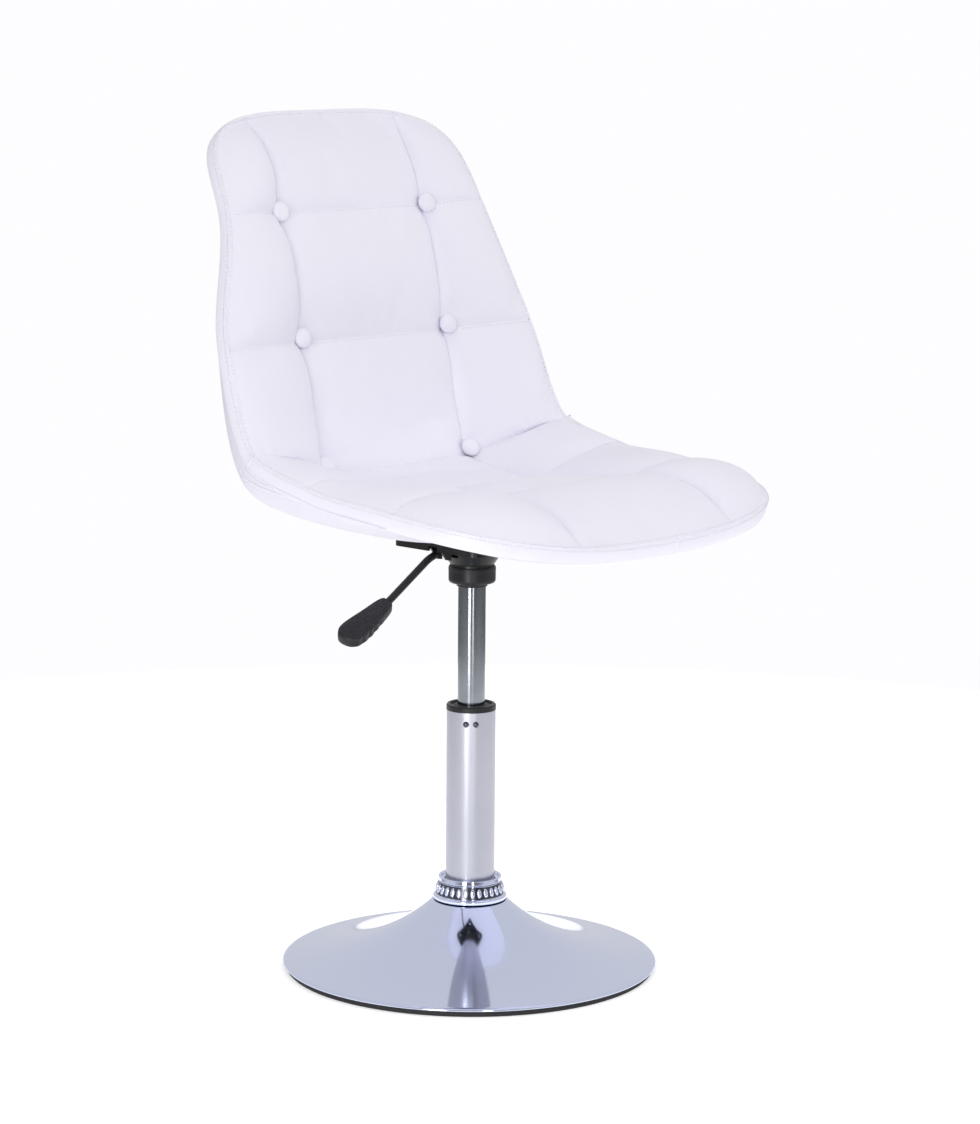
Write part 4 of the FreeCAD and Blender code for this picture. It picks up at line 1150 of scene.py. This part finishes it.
def collar():
    """Cast trim ring: two bright rims, a belt between them in chrome darkened to paint the dark reflections
    of its recesses, and a row of bright bosses on the belt.
    """
    lathe("collar_rims", fillet_loop(COLLAR_PROFILE), 160, "base", CHROME, "polished_chrome", "collar_ring")
    # The belt takes the darkened chrome, which paints its dark reflections.
    lathe("collar_belt", fillet_loop(BELT_PROFILE), 160, "base", PAINTED_DARK_CHROME, "polished_chrome")
    low, high = np.array(BELT_LOW), np.array(BELT_HIGH)
    slope = (high - low) / np.linalg.norm(high - low)
    out = np.array((slope[1], -slope[0]))
    bosses = []
    for k in range(BOSS_COUNT):
        angle = math.tau * k / BOSS_COUNT
        boss = []
        for share, proud in BOSS_DOME:
            ring = []
            for t in np.linspace(0.0, math.tau, 20, endpoint=False):
                radius, height = 0.5 * (low + high) + slope * math.sin(t) * BOSS_LENGTH * share + out * proud
                turn = angle + math.cos(t) * BOSS_WIDTH * share / radius
                ring.append((radius * math.cos(turn), radius * math.sin(turn), height))
            boss.append(np.array(ring))
        bosses.append(ring_mesh(boss))
    add_piece("collar_bosses", *merge(bosses), "base", CHROME, "polished_chrome")


def tube_rivets():
    """Domed heads of the rivets that hold the guide bush."""
    steps = np.linspace(0.0, math.tau, 32, endpoint=False)
    heads = []
    for angle in RIVET_ANGLES:
        turn = math.radians(angle)
        normal = np.array((math.cos(turn), math.sin(turn), 0.0))
        side, up = frame_of(normal)
        rings = []
        for share, proud in RIVET_DOME:
            centre = normal * (TUBE_RADIUS + proud) + np.array((0.0, 0.0, RIVET_HEIGHT))
            radius = RIVET_RADIUS * share
            rings.append(np.array([centre + radius * (math.cos(t) * side + math.sin(t) * up) for t in steps]))
        heads.append(ring_mesh(rings))
    # The heads take the darkened chrome, which paints their dark reflections.
    add_piece("rivet_heads", *merge(heads), "base", PAINTED_DARK_CHROME, "polished_chrome", "tube_rivets")


def closed_curve(corners, per_span):
    """Smooth closed curve through the corners."""
    corners = np.array(corners, float)
    count = len(corners)
    points = []
    for i in range(count):
        a, b, c, d = (corners[(i + k) % count] for k in (-1, 0, 1, 2))
        for t in np.linspace(0.0, 1.0, per_span, endpoint=False):
            points.append(0.5 * (2 * b + (c - a) * t + (2 * a - 5 * b + 4 * c - d) * t ** 2
                                 + (3 * b - a - 3 * c + d) * t ** 3))
    return np.array(points)


def lever_handle():
    """Moulded handle: a flat paddle with rounded rims and finger scallops along its front edge."""
    edge = closed_curve(GRIP_OUTLINE, 14)
    run, across = edge[:, 0], edge[:, 1]
    front = np.clip(-across / 0.008, 0.0, 1.0) * np.clip((run - SCALLOP_FROM) / 0.008, 0.0, 1.0)
    front *= np.clip((SCALLOP_TO - run) / 0.004, 0.0, 1.0)
    ridges = 1.0 - np.abs(np.sin(math.pi * (run - SCALLOP_FROM) / SCALLOP_PITCH))
    wave = SCALLOP_DEPTH * front * ridges
    away = edge - GRIP_CENTRE
    away /= np.linalg.norm(away, axis=1)[:, None]
    hub = GRIP_CENTRE + (edge - GRIP_CENTRE) * 0.05
    levels = [(GRIP_RIMS[0][0], hub)]
    for height, inset in GRIP_RIMS:
        share = 1.0 if height <= 0.5 else 0.4
        levels.append((height, edge - away * (inset + wave * share)[:, None]))
    levels.append((GRIP_RIMS[-1][0], hub))
    slope = math.atan2(GRIP_START[2] - GRIP_END[2], GRIP_START[0] - GRIP_END[0])
    tilt = Matrix.Rotation(math.pi - slope, 3, "Y") @ Matrix.Rotation(-GRIP_TWIST, 3, "X")
    rings = []
    for height, flat in levels:
        level = np.full(len(edge), height * 0.5 * GRIP_THICK)
        rings.append(np.column_stack([flat, level]) @ np.array(tilt).T + GRIP_START)
    finish = "lever", GRIP_PLASTIC, "black_plastic", "lever_grip"
    add_piece("lever_handle", *ring_mesh(rings), *finish, sharp=50)


def build_upholstery():
    """Pads, bands, covers, buttons, piping and stitches, in the order that the pieces are listed."""
    halves = quilted_pads()
    loops = outline()
    border_band("seat_border_band", "seat_band", loops["seat"])
    border_band("back_border_band", "back_band", loops["back"])
    cover("rear_quilt_cover", "rear_cover", behind_back=True)
    cover("under_seat_cover", "under_cover", behind_back=False)
    tuft_buttons()
    band_joints(loops["seat"])
    cover_welts()
    seam_stitches(halves)
    border_stitches(halves, loops)


# ---------------------------------------------------------------- stage, light, camera
def stage_floor():
    """Round white floor, faintly lit from within so that it meets the background without a line."""
    turns = [math.tau * k / FLOOR_STEPS for k in range(FLOOR_STEPS)]
    verts = [(r * math.cos(turn), r * math.sin(turn), 0.0) for r in FLOOR_RINGS for turn in turns]
    verts.append((0.0, 0.0, 0.0))
    faces = [(len(verts) - 1, k, (k + 1) % FLOOR_STEPS) for k in range(FLOOR_STEPS)]
    faces += [tuple(reversed(face)) for face in grid_faces(len(FLOOR_RINGS), FLOOR_STEPS, closed=True)]
    floor = new_object("studio_floor", verts, faces, smooth=False)
    material, tree, shader = start_material("floor_paint", (0.93, 0.93, 0.935), 0.75, Specular_IOR_Level=0.1)
    fine = noise(tree, object_coordinates(tree), 3.0)
    plug(shader, Base_Color=ramp(tree, fine, (0.925, 0.925, 0.93), (0.935, 0.935, 0.94)))
    shader.inputs["Emission Color"].default_value = (1.0, 1.0, 1.0, 1.0)
    shader.inputs["Emission Strength"].default_value = FLOOR_GLOW
    floor.data.materials.append(material)


def stage_world():
    """Pale surroundings, darker low down and behind the camera, where the polished metal picks it up."""
    world = bpy.data.worlds.new("studio")
    bpy.context.scene.world = world
    world.use_nodes = True
    tree = world.node_tree
    background = tree.nodes["Background"]
    direction = node(tree, "TexCoord").outputs["Generated"]
    toward = node(tree, "VectorMath", {"Vector": direction})
    toward.operation = "DOT_PRODUCT"
    toward.inputs[1].default_value = DARK_SIDE
    shade = node(tree, "MapRange", {"Value": toward.outputs["Value"]}, From_Min=DARK_FROM, From_Max=DARK_TO,
                 To_Min=WORLD_LIGHT, To_Max=DARK_LIGHT)
    height = node(tree, "SeparateXYZ", {"Vector": direction})
    low = node(tree, "MapRange", {"Value": height.outputs["Z"]}, From_Min=LOW_FROM, From_Max=LOW_TO,
               To_Min=LOW_LIGHT, To_Max=1.0)
    both = node(tree, "Math", {0: shade.outputs["Result"], 1: low.outputs["Result"]})
    both.operation = "MULTIPLY"
    rays = node(tree, "LightPath")
    seen = rays.outputs["Is Camera Ray"]
    strength = node(tree, "MapRange", {"Value": seen, "To Min": both.outputs["Value"]}, To_Max=1.0)
    tree.links.new(strength.outputs["Result"], background.inputs["Strength"])
    background.inputs["Color"].default_value = (0.985, 0.985, 1.0, 1.0)


def soft_box(name, azimuth, elevation, distance, size, power, aim, glossy):
    """Area light aimed at height aim on the column; azimuth 0 is in front, 90 on the sitter's left.

    Glossy lights are strips that only show in the metal, the others only light the matt surfaces."""
    a, e = math.radians(azimuth), math.radians(elevation)
    direction = Vector((math.sin(a) * math.cos(e), -math.cos(a) * math.cos(e), math.sin(e)))
    data = bpy.data.lights.new(name, "AREA")
    data.shape = "RECTANGLE"
    data.size, data.size_y = size
    data.energy = power
    lamp = bpy.data.objects.new(name, data)
    bpy.context.scene.collection.objects.link(lamp)
    lamp.location = Vector((0.0, 0.0, aim)) + direction * distance
    lamp.rotation_mode = "QUATERNION"
    lamp.rotation_quaternion = direction.to_track_quat("Z", "Y")
    lamp.visible_camera = False
    lamp.visible_glossy = glossy
    lamp.visible_diffuse = not glossy


def stage_camera():
    """Eye a little above the seat back, in front of the chair on the sitter's right."""
    azimuth, distance, height = math.radians(-47.0), 3.609, 1.028
    pitch, roll, aside, lens = math.radians(9.542), math.radians(0.466), 0.018, 115.67
    level = math.cos(pitch)
    back = Vector((math.sin(azimuth) * level, -math.cos(azimuth) * level, math.sin(pitch)))
    right = Vector((math.cos(azimuth), math.sin(azimuth), 0.0))
    up = back.cross(right)
    tilted_right = math.cos(roll) * right + math.sin(roll) * up
    tilted_up = -math.sin(roll) * right + math.cos(roll) * up
    data = bpy.data.cameras.new("camera")
    data.lens, data.sensor_width = lens, 36.0
    camera = bpy.data.objects.new("camera", data)
    bpy.context.scene.collection.objects.link(camera)
    camera.rotation_mode = "QUATERNION"
    turn = Matrix((tilted_right, tilted_up, back)).transposed()
    camera.rotation_quaternion = turn.to_quaternion()
    stand = Vector((math.sin(azimuth) * distance, -math.cos(azimuth) * distance, height))
    camera.location = stand + right * aside
    bpy.context.scene.camera = camera


stage_camera()
stage_world()
for light in LIGHTS:
    soft_box(*light)
stage_floor()
dress_cad_nodes()
trumpet_base()
collar()
dust_cup()
tube_rivets()
lever_handle()
build_upholstery()
bpy.context.scene.view_settings.view_transform = "Standard"
